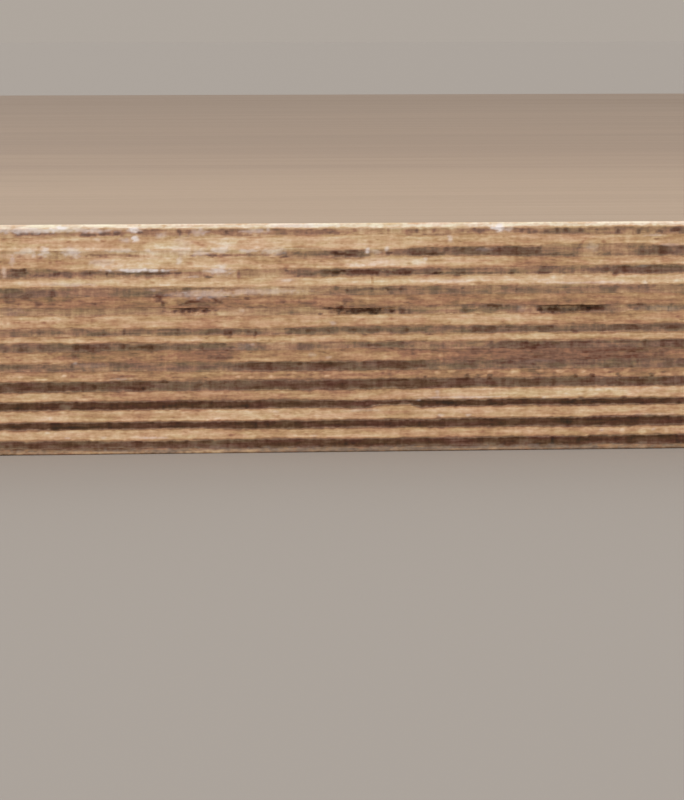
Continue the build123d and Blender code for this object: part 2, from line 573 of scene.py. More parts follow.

# %% [markdown]
# ## Tones along the edge
#
# No ply keeps one tone. A cross veneer darkens where it passes through heartwood and is washed
# out where dust and sanding have rubbed it pale. Such stretches are listed for each ply:
# where one starts and ends, in millimetres from the middle of the front edge, how much it changes
# the tone and how long it takes to fade. Beyond the close view, seeded random fields carry the
# same kind of variation on round the sheet.
#
# The stretches and the marks were placed with a ruler held to a picture of the edge. Its
# millimetres are half a percent too short, and the camera looks a little to the right, so every
# column's reading on that ruler is worked out first.
#
# At a glue line the two woods don't part cleanly. The saw drags dark crumbs over the pale ply and
# pale ones over the dark, by a different amount at every place, so each ply takes on some of its
# neighbour's tone near their border.

# %% The tone of each ply along the edge
STRETCHES = {
    1: [(-44, -34, 0.035, 3), (45, 54, 0.035, 3)],
    2: [(-54, -44, 0.03, 3), (-9, 0, -0.05, 3), (1, 8, 0.05, 2), (18, 36, -0.035, 2),
        (27, 54, -0.05, 3)],
    3: [(-54, -35, -0.03, 5), (-27, -9, 0.05, 4), (17, 27, -0.04, 3), (18, 54, -0.06, 8),
        (36, 43, 0.035, 2)],
    4: [(-53, -4, 0.1, 6), (-54, -44, 0.04, 3), (-35, -27, 0.04, 3), (-8, 3.6, -0.12, 2),
        (12, 29.5, -0.17, 2), (27, 35, -0.05, 3), (46, 54, -0.14, 3)],
    5: [(-54, -44, -0.06, 3), (-35, -17, 0.06, 4), (-8, 0, -0.02, 2), (0.3, 13, 0.06, 0.6),
        (27, 35, -0.08, 4)],
    6: [(-50, -26, -0.02, 3), (-24, -10, 0.06, 3), (-25, -19, 0.05, 2), (-1, 18, -0.09, 3),
        (29, 42, -0.045, 3), (44, 54, -0.12, 4)],
    7: [(-36, -27, 0.05, 3), (27, 54, 0.045, 4)],
    8: [(-54, -45, -0.05, 4), (-20, -5, 0.1, 4)],
    9: [(-54, -18, -0.04, 6), (46, 54, 0.04, 5)],
    10: [(-54, -12, 0.05, 5), (-26, -18, 0.05, 3), (-16, 17, 0.05, 3), (45, 54, -0.04, 3)],
    11: [(-54, -28, 0.045, 3), (17, 27, 0.06, 3), (36, 54, -0.05, 5)],
    12: [(-54, -27, 0.03, 6)],
    13: [(18, 36, 0.04, 3)],
    14: [(-45, -28, -0.06, 4), (-9, 1, 0.06, 3), (27, 36, -0.08, 3), (44, 54, -0.06, 3)],
    15: [(-54, 12, 0.05, 2), (-54, -44, 0.05, 3), (-38, -18, -0.11, 4), (10, 54, -0.08, 3)],
    16: [(-54, -40, 0.06, 5), (-36, -26, 0.04, 3), (-38, -16, 0.03, 3), (-14, 11, -0.07, 3),
        (12, 26, 0.03, 3)],
    17: [(-54, -36, 0.08, 6), (-18, -9, 0.045, 3)],
    18: [(-28, -15, 0.05, 2), (20, 54, 0.02, 5)],
    19: [(-34, -16, -0.05, 6), (-12, 8, -0.04, 5), (17, 54, 0.06, 3)],
    20: [(-18, 0, 0.04, 4), (17, 27, -0.03, 3)],
    21: [(-27, -10, 0.03, 5)],
    22: [(35, 43, -0.04, 3)],
    23: [(-54, -27, 0.06, 8), (9, 17, -0.04, 3)],
    24: [(-54, -20, 0.05, 10), (27, 36, -0.04, 4)],
    25: [(-10, 54, -0.04, 5)],
}
SMEAR_SHARE = 0.5
SMEAR_LEAST, SMEAR_MOST = 0.12 * MM, 0.42 * MM
SMEAR_PATCH = 0.6 * MM
RULER_STRETCH = 1.0048
STRETCH_BEND, STRETCH_BEND_LENGTH = 0.8, 2.2
TONE_FIELD_STEP = 11.7


def on_ruler():
    """What the ruler reads at each column, in millimetres. The camera looks to the right by a, so
    at the distance d the ruler reads x d / (d + x sin a), times RULER_STRETCH."""
    away = EYE_BEFORE_EDGE / math.cos(LOOK_RIGHT)
    return RULER_STRETCH * ring.x / MM * away / (away + ring.x * math.sin(LOOK_RIGHT))


ruler = on_ruler()


def stretch_change(ply):
    """The change of tone from a ply's stretches at every column of the front edge."""
    x = ruler + STRETCH_BEND * field(ruler / STRETCH_BEND_LENGTH, ply.number, seed=51)
    total = np.zeros_like(x)
    for start, end, change, fade in STRETCHES.get(ply.number, ()):
        total += change * between(x, start, end, fade)
    return total * in_front


def far_change(ply):
    """Slow random changes of tone round the sheet, which give way to the listed stretches."""
    own = ply.number * TONE_FIELD_STEP
    slow = field(ring.travel / (210 * MM), own, seed=71)
    middling = field(ring.travel / (55 * MM), own, seed=72)
    short = field(ring.travel / (14 * MM), own, seed=73)
    return (0.05 * slow + 0.05 * middling) * (1 - close_up) + 0.02 * short


def tone_along(ply):
    """A ply's own tone at every column."""
    side_grain, end_grain = EDGE_TONES_AND_PAINTED_LIGHT[ply.number - 1]
    plain = np.where(cut_across(ply)[ring.side], end_grain, side_grain)
    return plain + stretch_change(ply) + far_change(ply)


own_tones = [tone_along(ply) for ply in stack]


def smeared_tone(ply, z):
    """A ply's tone at each point of its ribbon: its own, with up to SMEAR_SHARE of the way to a
    neighbour's at their glue line, fading out over a reach that differs from place to place."""
    own = own_tones[ply.number - 1]
    tone = np.zeros_like(z) + own
    for neighbour, line in ((ply.number - 1, ply.number - 1), (ply.number + 1, ply.number)):
        if 1 <= neighbour <= len(stack):
            seed = 83 + neighbour - ply.number
            patchy = 0.5 + 0.5 * field(ring.travel / SMEAR_PATCH, line, seed)
            reach = SMEAR_LEAST + (SMEAR_MOST - SMEAR_LEAST) * patchy
            near = 1 - rise(np.abs(z - heights[line]), 0, reach)
            tone += SMEAR_SHARE * near * (own_tones[neighbour - 1] - own)
    return tone


print(f"{sum(map(len, STRETCHES.values()))} stretches, own tones from "
      f"{min(map(np.min, own_tones)):.2f} to {max(map(np.max, own_tones)):.2f}")

# %% [markdown]
# ## Marks on the front edge
#
# Dust and rubbing leave pale hazes and spots, and heartwood, pores and torn fibres leave brown
# and dark ones. The darkest marks, over the bites in ply 10, are painted shade in their hollows.
# Each mark is a soft ragged ellipse, written down as it looks: its middle in
# millimetres along the edge and down from the top face, its length and height, and how strong it
# is. Some wood is redder than the rest and some more olive, so a mark can also turn the colour
# one way or the other.
#
# The marks are listed ply by ply from the top, and from left to right in each ply.

# %% Four kinds of marks
LIGHTER_BELOW = 0.05
Mark = namedtuple("Mark", "along down length height tone bleach red slope")


def pale(along, down, length, height, bleach, red=0.0):
    """A spot or haze that is rubbed pale. Under it, the wood is a little lighter too."""
    return Mark(along, down, length, height, LIGHTER_BELOW * bleach, bleach, red, 0.0)


def dark(along, down, length, height, tone, red=0.0, slope=0.0):
    """A spot or streak of darker wood, and over the bites of ply 10 a painted shade. A slope tilts
    it, in millimetres down for each along.
    """
    return Mark(along, down, length, height, -tone, 0.0, red, slope)


def light(along, down, length, height, tone, red=0.0):
    """A place where the wood itself is lighter."""
    return Mark(along, down, length, height, tone, 0.0, red, 0.0)


def tint(along, down, length, height, red):
    """A place of the same tone but redder, or more olive where red is below zero."""
    return Mark(along, down, length, height, 0.0, 0.0, red, 0.0)


def several(kind, values, *rows):
    """The same mark at several places. A row has its distance down, then the places along."""
    return [kind(along, row[0], *values) for row in rows for along in row[1:]]


MARKS = (
    # Ply 1
    pale(-42.8, 0.6, 1.8, 0.9, 1.3), pale(-5.5, 0.35, 11, 0.5, 0.55),
    # Ply 2
    pale(-51.2, 1, 1.6, 0.8, 0.4), pale(-48.2, 0.9, 1.8, 0.8, 0.4, 0.4),
    dark(-47.5, 1.3, 9, 0.5, 0.1), pale(-46, 0.85, 17, 0.8, 0.7), pale(-43.8, 0.75, 4, 0.8, 0.9),
    dark(-40.5, 1.5, 23, 0.6, 0.05, 0.3), dark(-39, 1.6, 4, 0.4, 0.14),
    pale(-38.5, 0.95, 8, 0.65, 0.6), dark(-35.2, 1.3, 3.6, 1, 0.11, 0.8),
    dark(-34.5, 1.3, 1.2, 0.8, 0.08, 0.4), pale(-31.8, 0.75, 1.9, 0.9, 1.3),
    dark(-31, 1.3, 0.8, 0.4, 0.15), dark(-28, 0.95, 4, 0.5, 0.1, 0.4),
    dark(-27.5, 0.95, 0.6, 0.5, 0.1), pale(-27.5, 1.7, 2, 1, 0.3),
    dark(-24.8, 1.2, 1, 1.1, 0.13, 0.8), dark(-23.3, 1.15, 0.7, 0.7, 0.12, 0.8),
    pale(-21.7, 1.2, 2.5, 1.2, 0.45), dark(-18, 1.2, 13, 0.7, 0.04, 0.5),
    dark(-17.6, 1.15, 0.7, 0.7, 0.14), pale(-13.5, 1.1, 4, 0.8, 0.4),
    pale(-11.3, 0.9, 0.6, 0.6, 0.55), dark(-5.5, 1.3, 11, 1, 0.05, 0.8),
    dark(-3, 1.3, 6, 0.8, 0.08, 0.4),
    *several(dark, (0.7, 0.7, 0.13, 0.6), (1.15, 2, 7.1, 11.5, 14.2)),
    dark(10, 1.3, 2, 0.8, 0.05, 0.8), dark(20.5, 1.35, 4, 0.9, 0.13, 0.8),
    pale(24.1, 0.8, 2.1, 1.2, 1.3), pale(25.5, 0.9, 1.2, 0.9, 0.45),
    *several(dark, (0.8, 0.8, 0.13, 0.3), (1.3, 27.5, 29.7, 31.4, 33, 34.3, 36.7, 39)),
    *several(dark, (1, 0.7, 0.14, 0.3), (1.5, 42.3, 45.5, 48.7)),
    dark(43.5, 0.85, 5, 0.5, 0.06, -0.4), dark(51, 1.3, 2, 0.6, 0.14, 0.3),
    # Ply 3
    dark(-51, 2.9, 2, 0.6, 0.05, -0.8), tint(-46.5, 2.5, 7, 1, 0.8),
    dark(-46.4, 3.5, 0.5, 0.5, 0.12, -0.3),
    *several(dark, (0.9, 0.35, 0.13, 0.3), (2.5, -41.7, -40.5, -36.5)),
    light(-38, 3.55, 28, 0.7, 0.05), pale(-37.5, 2.2, 1, 0.5, 0.35), pale(-33, 2.45, 2, 0.7, 0.4),
    pale(-31.6, 2.3, 1.2, 0.8, 1.1), dark(-30.2, 2.85, 0.9, 0.4, 0.13, 0.3),
    pale(-24.5, 3.4, 3, 3, 0.2), dark(-21.9, 3.05, 2.4, 0.45, 0.1, 0.7, 0.4),
    dark(-15, 2.75, 2, 0.35, 0.1, 0.6), dark(10.1, 2.45, 1.2, 0.35, 0.08, -0.5),
    dark(14.5, 3.5, 1, 0.35, 0.1, -0.3), pale(16.6, 2.55, 0.8, 1.1, 0.5),
    light(29, 3.45, 4, 0.7, 0.05), dark(36.8, 3.2, 1.8, 0.9, 0.1, 0.5, -1.07),
    dark(40, 3.1, 0.8, 0.7, 0.12, 0.4), pale(47.6, 2.15, 3.2, 0.4, 0.3),
    dark(48.2, 2.65, 1.3, 0.4, 0.14, 0.2), pale(50.5, 3.55, 3, 0.5, 0.2),
    # Ply 4
    dark(-49.2, 4.75, 1.5, 0.7, 0.12, 0.3), pale(-48.7, 4.1, 2.9, 1, 0.5, -0.4),
    pale(-47.2, 4.15, 0.6, 1.3, 0.35), pale(-45.5, 4.1, 1.6, 1.4, 0.65),
    pale(-41.3, 4.1, 2.8, 1.5, 0.6), dark(-35.5, 4.6, 9, 0.45, 0.14), pale(-34, 4, 6, 0.6, 0.4),
    dark(-34, 4.85, 8, 0.5, 0.08, 0.5), pale(-29.6, 4, 0.8, 0.6, 0.5),
    pale(-21.5, 4.4, 2.5, 1.2, 0.4), dark(-20, 4.75, 9, 0.45, 0.14, 0.4),
    pale(-18.7, 4.05, 2.5, 0.9, 0.55, 0.3), dark(-17.5, 4.3, 0.5, 0.8, 0.14),
    dark(-16.5, 4.8, 13, 0.5, 0.13, 0.3), pale(-14.5, 4.1, 3, 0.5, 0.55),
    pale(-10.7, 4.15, 3.5, 1.1, 0.35, -0.3), dark(-4, 4.65, 8.5, 0.8, 0.11),
    dark(-1, 4.6, 3, 0.8, 0.07, 0.4), light(0, 3.9, 50, 0.45, 0.05),
    dark(1.6, 4.5, 3.5, 1, 0.12, 0.5), pale(3.9, 4.25, 0.8, 0.9, 0.9),
    pale(5.2, 4.3, 1.5, 0.8, 0.25), pale(7, 3.85, 0.8, 0.7, 0.8), dark(7.2, 4.7, 0.8, 0.6, 0.16),
    dark(8.7, 4.6, 4.5, 0.7, 0.09, 0.3), dark(10, 4.4, 4, 0.9, 0.07, 0.4),
    dark(14.4, 4.8, 3.2, 0.4, 0.1), *several(dark, (1, 0.8, 0.08), (4, 16, 18.5, 24)),
    pale(21.7, 4.15, 2.5, 0.5, 0.15), dark(22.2, 4.85, 1.5, 0.35, 0.1),
    light(28.6, 3.95, 3.5, 0.7, 0.09), *several(dark, (5.5, 0.35, 0.13), (4.95, 33.2, 40.5)),
    light(33.5, 3.95, 5, 1.3, 0.05), pale(38.4, 3.8, 1.9, 1.3, 0.25, -0.5),
    light(46.3, 3.95, 2.5, 0.8, 0.09), dark(49.2, 4.5, 6.7, 1.2, 0.04, 0.4),
    dark(49.7, 4.5, 2.5, 1, 0.06),
    # Ply 5
    pale(-50.5, 5.3, 1, 1.4, 0.4, 0.5),
    *several(dark, (0.7, 0.35, 0.12, 0.4), (5.9, -49.5), (6.2, -48)),
    *several(dark, (0.8, 0.5, 0.12, 0.3), (5, -46, -41.5)), dark(-44.7, 5.75, 0.8, 0.35, 0.12, 0.4),
    tint(-43.2, 5.65, 1.4, 0.6, 0.9), dark(-38, 5.05, 26, 0.5, 0.035), pale(-37, 5.9, 4, 1, 0.3),
    dark(-34.5, 5.95, 0.9, 0.35, 0.1, 0.4), pale(-24.9, 5.6, 1.2, 1.2, 0.65),
    dark(-22.9, 6, 2.2, 0.35, 0.1, 0.6), dark(-11.8, 5.55, 0.8, 0.35, 0.1, -0.3),
    dark(-8.4, 5, 2.8, 0.35, 0.16, 0.8, -0.2), dark(-3, 5.7, 0.8, 0.35, 0.1, 0.3),
    *several(tint, (1.3, 0.4, 0.8), (6.3, 0.95, 4.5)), pale(6.6, 5.95, 13.2, 1.5, 0.07),
    light(6.6, 5.95, 13.2, 1.5, 0.03, 0.3), dark(10.3, 6.2, 1.4, 0.4, 0.07, -0.5),
    pale(12.8, 5.5, 0.8, 0.5, 0.55), dark(13, 6.65, 26, 0.4, 0.05),
    *several(dark, (2.5, 0.35, 0.09, 0.4), (5.8, 14.4, 22.5)),
    # Ply 6
    Mark(-51.7, 7.3, 0.9, 1.3, 0.16, 0.3, 0.5, 0), dark(-49.4, 7.3, 3.3, 1.3, 0.1),
    dark(-49.2, 6.85, 3.4, 0.6, 0.15), tint(-46.2, 6.9, 2.5, 0.4, -0.8),
    dark(-46, 7.65, 2, 0.4, 0.12), *several(dark, (0.4, 1, 0.1), (7.4, -44, -43.3, -38.6, -36)),
    dark(-44, 7.5, 9, 0.8, 0.05), tint(-43.5, 7.6, 11, 0.8, 0.9),
    dark(-40.5, 7.45, 9, 0.8, 0.05, 0.5), pale(-31.5, 6.97, 11, 0.5, 1.2, 0.2),
    dark(-30.5, 7.45, 12, 0.55, 0.18), dark(-24, 7.4, 5, 0.4, 0.09, 0.5),
    dark(-19.2, 6.9, 0.5, 0.4, 0.14), pale(-18.8, 7.05, 3.5, 1.3, 0.75),
    dark(-15.8, 7.7, 0.5, 1.7, 0.1, 0.9), dark(-12.5, 7.3, 7, 0.9, 0.03, 0.5),
    dark(-8.5, 6.8, 1, 0.8, 0.13, 0.4), dark(-4.5, 7.5, 10, 0.8, 0.08),
    dark(-1, 7.45, 3, 0.8, 0.06), dark(3.2, 7.45, 7, 0.9, 0.13, 0.7),
    light(7.4, 7.2, 0.6, 0.8, 0.08), dark(9.3, 7.45, 4, 0.9, 0.15, 0.7),
    dark(13, 7.3, 3.8, 0.9, 0.03, 0.6), dark(14.7, 7.65, 1.5, 0.35, 0.12),
    dark(20.5, 7.7, 11, 0.35, 0.13), dark(31, 7.75, 10, 0.35, 0.1, 0.4),
    dark(31.2, 6.9, 5.5, 0.35, 0.08, 0.4), dark(41, 7.3, 12, 0.9, 0.07, 0.4),
    pale(46.1, 6.8, 1.8, 0.5, 0.12), dark(50.2, 7.05, 4.7, 0.9, 0.06),
    # Ply 7
    pale(-41.7, 9.05, 7.5, 0.5, 0.35), *several(dark, (1, 0.4, 0.08, 0.3), (8.8, -31, -29)),
    pale(-23, 8, 2, 0.35, 0.3), dark(-20.7, 8, 1.3, 0.6, 0.18, 0.3), pale(-8.5, 8.65, 2, 0.5, 0.4),
    dark(4.7, 8.7, 0.4, 1, 0.2), pale(16.8, 8.95, 3.5, 0.5, 0.35), dark(17.4, 8.1, 1.3, 0.5, 0.13),
    dark(21, 9.15, 2, 0.5, 0.1, -0.3), pale(37.5, 9.3, 15, 0.4, 0.3, 0.3),
    dark(41.8, 8.1, 0.9, 0.6, 0.15, 0.4), pale(46.4, 9.35, 1, 0.5, 0.4),
    # Ply 8
    dark(-48.2, 10.9, 1.6, 0.5, 0.1), dark(-48, 10.4, 8, 1.8, 0.05),
    dark(-46.2, 10.1, 1.5, 0.5, 0.08), tint(-45.5, 10.3, 13, 1.3, 0.8),
    dark(-31.7, 9.9, 2.2, 0.5, 0.04, -0.5), pale(-29, 9.95, 2, 0.5, 0.3),
    dark(-28, 10.8, 2.8, 0.8, 0.1, 0.6), dark(-26.9, 10, 1.8, 0.35, 0.1),
    dark(-26.5, 10.85, 1, 0.35, 0.1), pale(-24.2, 10.4, 1, 0.4, 0.5),
    *several(dark, (0.6, 0.4, 0.06), (9.85, -21.3, -19)), pale(-21, 10.7, 10, 1.2, 0.3, 0.4),
    dark(-20.5, 9.85, 11, 0.35, 0.1, -0.5), pale(-12, 10.35, 12, 0.9, 0.28, 0.3),
    dark(-2.7, 10.25, 5.5, 1, 0.03, -0.5),
    *several(dark, (0.4, 0.7, 0.1), (10.15, 0.8, 2.7, 4.7, 7, 9)), dark(5.5, 10.1, 11, 0.35, 0.1),
    dark(18.5, 10.05, 0.8, 0.4, 0.12), dark(34.7, 10.2, 2.5, 0.6, 0.04, -0.5),
    *several(dark, (0.8, 0.5, 0.12, 0.4), (9.9, 45.5, 47.7)),
    # Ply 9
    dark(-51, 11.6, 2, 0.3, 0.06, 0.9),
    *several(dark, (0.9, 0.5, 0.09, 0.9), (12, -49.6, -44.3, -38.2)),
    dark(-46.5, 12, 1.4, 0.7, 0.14, 0.9), dark(-44.5, 11, 0.7, 0.5, 0.1),
    *several(dark, (0.9, 0.5, 0.08, 0.9), (11.6, -42, -40)), tint(-38.5, 11.3, 9, 3.2, 0.5),
    dark(-28.1, 11.4, 1.6, 1.2, 0.15, 0.6), dark(-27.4, 12.3, 1, 1, 0.14, 0.4, 1),
    dark(-24.3, 12.1, 1.5, 0.5, 0.16, 0.3), light(-23.7, 12.6, 2.5, 0.35, 0.06),
    dark(-22.7, 11.75, 1.6, 0.45, 0.15, 0.3), dark(-22.5, 12.3, 8, 1.9, 0.08, 0.5),
    pale(-22, 11.15, 1.2, 0.35, 0.5), dark(-19.2, 11.6, 3, 0.5, 0.17, 0.3, 0.48),
    tint(-16, 11.85, 1.2, 0.5, 0.8), dark(-14.6, 11.3, 0.8, 0.5, 0.12, 0.3),
    dark(-13, 12.65, 4, 0.35, 0.1, 0.4),
    *several(dark, (0.9, 0.5, 0.06, 0.4), (11.9, -9.1, -6.5, -4)), dark(-6, 11.8, 12, 1, 0.03, 0.8),
    dark(0.75, 11.85, 1.5, 0.9, 0.12, 0.7), light(4.5, 11.45, 5, 0.35, 0.06, 0.3),
    dark(10.7, 11.55, 2, 0.4, 0.1, 0.4), dark(17.9, 11.6, 0.9, 0.4, 0.1, 0.4),
    dark(24, 12.7, 3, 0.35, 0.12), dark(35.6, 12.1, 2.8, 0.5, 0.05, 0.8),
    dark(41, 11.65, 6, 0.35, 0.09, 0.3), dark(45.8, 12.7, 2.4, 0.35, 0.14),
    # The marks of strength 0.2 and more in this ply lie over its three bites: painted shade in
    # their hollows.
    # Ply 10
    pale(-50, 13, 4, 1.4, 0.06, 0.4), tint(-40.5, 13, 1.5, 1.2, -0.6),
    tint(-30.7, 13.1, 5.5, 1, -0.6), dark(-22.8, 13.15, 7, 0.6, 0.24, 0.4),
    pale(-15.2, 13.2, 0.8, 0.6, 0.25), dark(-9.2, 13.65, 1.5, 0.5, 0.03, -0.5),
    dark(-3.15, 13.8, 0.8, 0.4, 0.22), dark(-2.3, 13.05, 1.5, 0.4, 0.22),
    dark(-0.2, 13.1, 1.3, 1.5, 0.22), *several(dark, (1, 0.7, 0.08), (13.4, 3.4, 5.9)),
    dark(3.65, 13.45, 5.5, 0.8, 0.21), pale(6.8, 13.3, 0.6, 0.9, 0.12),
    dark(7.6, 13.35, 0.8, 0.9, 0.26), dark(9.25, 13.35, 3, 0.9, 0.14),
    dark(13, 13.3, 4, 0.9, 0.02, -0.5), dark(13.7, 12.75, 2.3, 0.35, 0.12, 0.4),
    light(16.15, 13.3, 2.3, 1.2, 0.1, 0.5), dark(19.4, 13.4, 2.6, 1, 0.12, -0.4),
    tint(21.7, 13.3, 8.5, 1.3, -0.5), dark(23.8, 13, 5.5, 0.7, 0.12), pale(27.6, 13.2, 1.4, 1, 0.1),
    dark(30.2, 13.2, 1.4, 1.1, 0.16), dark(32, 13.45, 3.6, 0.95, 0.23),
    dark(35, 13.55, 4, 0.55, 0.13), pale(35.1, 13.3, 2.2, 0.9, 0.05, -0.4),
    dark(37.1, 13.15, 1.8, 1.3, 0.16), dark(39, 13.2, 3.2, 0.65, 0.2),
    light(41.6, 13.2, 1.2, 0.9, 0.05, 0.3), light(43.2, 13.3, 2.4, 1.1, 0.1),
    dark(45.1, 13.4, 0.8, 0.5, 0.1, 0.4),
    *several(dark, (0.35, 0.9, 0.12), (13.35, 47, 48.6, 50.1)),
    pale(49.1, 13.4, 6.8, 1, 0.08, -0.5), dark(50.5, 12.75, 0.9, 0.4, 0.14),
    # Ply 11
    *several(dark, (0.9, 0.35, 0.1, 0.4), (14.8, -51.7, -50.3, -48.2, -45.8, -44.2)),
    tint(-21, 14.8, 10, 1.6, 0.7), pale(-1.3, 15.2, 1, 0.5, 0.3),
    *several(dark, (0.8, 0.35, 0.1, 0.4), (14.65, 3.3, 7.5, 51.5), (15.25, 6.6, 16.6)),
    dark(13, 15.6, 26, 0.4, 0.05),
    # Ply 12
    *several(light, (0.6, 1.1, 0.07), (16.3, -47.1, -34.4, 21.7)),
    dark(-33.4, 16.3, 0.5, 1.1, 0.12), dark(-17.5, 16.9, 1.4, 1.4, 0.17),
    dark(-13.3, 16.8, 0.7, 1.6, 0.18), light(-10.3, 16.3, 4.7, 1.1, 0.07),
    dark(-5.1, 16.3, 0.8, 1, 0.1, -0.4), dark(10, 16.4, 0.8, 0.8, 0.1),
    dark(22.2, 16.3, 7.5, 1, 0.07), dark(29.2, 16.15, 6.5, 0.7, 0.07),
    dark(32.1, 16, 0.7, 0.6, 0.12), dark(35.9, 16.9, 0.9, 0.5, 0.1, 0.8),
    *several(dark, (3, 1, 0.07), (16.3, 44.5, 50.5)),
    # Ply 13
    dark(-13, 17.9, 26, 0.45, 0.05), tint(0, 17.5, 108, 1, -0.25),
    *several(dark, (0.8, 0.4, 0.12, 0.4), (17.05, 3.5, 13.5)),
    # Ply 14
    dark(-51.5, 18.7, 1, 1, 0.08, 0.3), tint(-50, 18.7, 2, 0.9, -0.5),
    tint(-44.5, 18.7, 5, 0.9, 0.5), dark(-39.2, 18.7, 2.3, 1, 0.08),
    *several(dark, (0.8, 1, 0.08), (18.7, -36, -33.5)), dark(-29, 18.7, 4, 1.1, 0.12, -0.4),
    light(-27.3, 18.7, 4, 1, 0.1), dark(-21.7, 18.8, 1.5, 0.8, 0.07),
    dark(-21.4, 18.7, 9.2, 1.1, 0.08), dark(-17.5, 18.7, 1.5, 0.9, 0.08),
    pale(-14.7, 18.7, 3.5, 1, 0.08, -0.4), pale(-13.8, 18.35, 0.8, 0.5, 0.3),
    light(-10.5, 18.7, 5, 1, 0.07), dark(-5.7, 18.7, 3.5, 1, 0.04), dark(6.3, 18.7, 9.7, 1, 0.06),
    light(12.1, 18.7, 1.8, 1, 0.07), dark(13, 18.95, 20, 0.5, 0.03),
    light(16.6, 18.7, 2.8, 1, 0.05, 0.3), dark(23.7, 18.7, 4.5, 1, 0.09),
    dark(28.2, 18.7, 4.5, 1, 0.06), dark(29.5, 19, 1.7, 0.6, 0.09),
    dark(41.5, 18.4, 21, 0.35, 0.09),
    # Ply 15
    *several(dark, (0.9, 0.4, 0.1, 0.4), (20.5, -49.5), (19.5, -44.8), (20, 7.1, 11, 37.5)),
    *several(dark, (1.2, 0.5, 0.06, 0.8), (20.05, -43, -41)), dark(-43, 20.2, 4, 1.4, 0.08),
    pale(-41, 21.05, 0.9, 0.5, 0.3), dark(-39, 20.2, 1.2, 0.5, 0.05, -0.6),
    dark(-22, 20, 12, 1.6, 0.02, 0.7), pale(-4.5, 20, 1, 0.6, 0.2),
    dark(-2.2, 19.9, 0.8, 0.4, 0.08, 0.4), pale(-2, 20.4, 0.9, 0.5, 0.2),
    light(15.2, 20.4, 0.8, 1.9, 0.09), tint(32, 20.2, 42, 4, 0.8), dark(39, 20.4, 26, 0.5, 0.03),
    # Ply 16
    *several(dark, (0.8, 0.7, 0.12), (21.5, -45.8, -41.6)), pale(-39, 21.4, 6, 0.7, 0.07),
    tint(-28, 21.7, 13, 1, 0.5), dark(-6.5, 21.4, 0.8, 0.7, 0.1), dark(-2, 21.6, 4, 0.9, 0.06),
    dark(29.5, 21.8, 0.8, 0.5, 0.1), pale(30.5, 21.25, 5, 0.5, 0.05),
    tint(41.9, 21.4, 3.8, 0.8, -0.6), light(44.8, 21.5, 0.9, 1.4, 0.09, -0.9),
    # Ply 17
    light(-49.3, 23, 1.4, 0.6, 0.09, 0.4), light(-46, 23.4, 2, 0.4, 0.1),
    light(-42.6, 22.9, 1, 0.6, 0.13, 0.5), dark(-41.5, 23, 0.8, 0.4, 0.12, 0.4),
    light(-39.6, 23.2, 1.8, 0.7, 0.08, 0.4), dark(-35.3, 23.2, 4, 1.4, 0.09),
    pale(-34, 23.5, 4, 0.35, 0.2, 0.3), dark(-32.9, 23, 2.3, 0.4, 0.06, 0.8),
    dark(-27.2, 24, 1.8, 0.6, 0.14), dark(-26.5, 23, 1.2, 0.4, 0.06, 0.8),
    *several(light, (0.8, 0.5, 0.12, 0.5), (23.3, -16, -14, -11, -2.3)),
    light(-13, 23.3, 26, 0.5, 0.04), *several(dark, (0.8, 0.35, 0.1, 0.4), (23.1, -8.3, -4.5)),
    tint(-4, 23.1, 26, 1.5, 0.4), *several(dark, (0.6, 0.35, 0.1, 0.3), (22.8, 6.3, 8.5, 12.2)),
    dark(12.8, 23.5, 0.6, 0.4, 0.16), light(14.7, 23, 0.9, 0.6, 0.12, 0.3),
    *several(light, (1.3, 0.6, 0.14, 0.3), (22.8, 17, 22.8, 30.5)),
    *several(dark, (0.9, 0.8, 0.18), (23.55, 19.2, 20.9, 22.8, 35.8, 38.5, 42.5, 47.6)),
    *several(light, (1.3, 0.65, 0.13, 0.2), (22.85, 26.5, 33.5, 37, 40.5, 44)),
    dark(41.2, 23.1, 0.9, 0.4, 0.1, 0.8), dark(49.4, 23.2, 0.6, 0.4, 0.15),
    # Ply 18
    *several(dark, (0.9, 0.6, 0.08), (24.5, -42.7), (24.6, -38.1), (24.85, -30.6)),
    tint(-21.5, 24.7, 13, 1.1, -0.2), dark(-1.5, 24.5, 1.5, 0.8, 0.04, 0.8),
    # Ply 19
    tint(-45, 26.2, 14, 1.5, -0.5), dark(-39, 26.2, 1.5, 0.35, 0.1, 0.4),
    tint(-24, 26.2, 29, 1.6, 0.5), pale(14.7, 26, 0.8, 0.8, 0.3),
    pale(18.4, 26.75, 11.2, 0.35, 0.4), pale(31, 26.9, 0.8, 0.35, 0.4),
    tint(33.5, 26.2, 21, 1.5, -0.4), *several(dark, (0.8, 0.45, 0.15), (26.95, 36.8, 43.4, 45.7)),
    dark(41, 26, 1, 0.4, 0.08, -0.5),
    # Ply 20
    light(-42.8, 27.7, 2.5, 0.9, 0.12, -0.5), light(-21, 27.7, 1.5, 0.8, 0.06, -0.5),
    light(3, 27.5, 6, 0.8, 0.05, 0.5), light(9.8, 27.4, 2.5, 0.8, 0.14, 0.3),
    pale(11.8, 27.1, 0.7, 0.4, 0.3), dark(17.5, 28.3, 1, 0.6, 0.15),
    # Ply 21
    dark(-51, 28.9, 1.5, 0.35, 0.07, 0.7), dark(-22.5, 28.45, 5, 0.35, 0.1, 0.9),
    *several(pale, (0.9, 0.4, 0.35), (28.6, -10.3), (29.5, 15.2, 19.5)),
    dark(-10, 29.4, 0.9, 0.35, 0.1, 0.4), pale(3.2, 28.6, 6.5, 0.35, 0.25),
    *several(dark, (1.8, 0.35, 0.08, 0.4), (29, 47.1, 51)), pale(48.5, 29.6, 7, 0.35, 0.15),
    # Ply 23
    *several(pale, (0.9, 0.4, 0.3), (31.6, -45.3), (32.4, -42.2, -36.7, -4.5)),
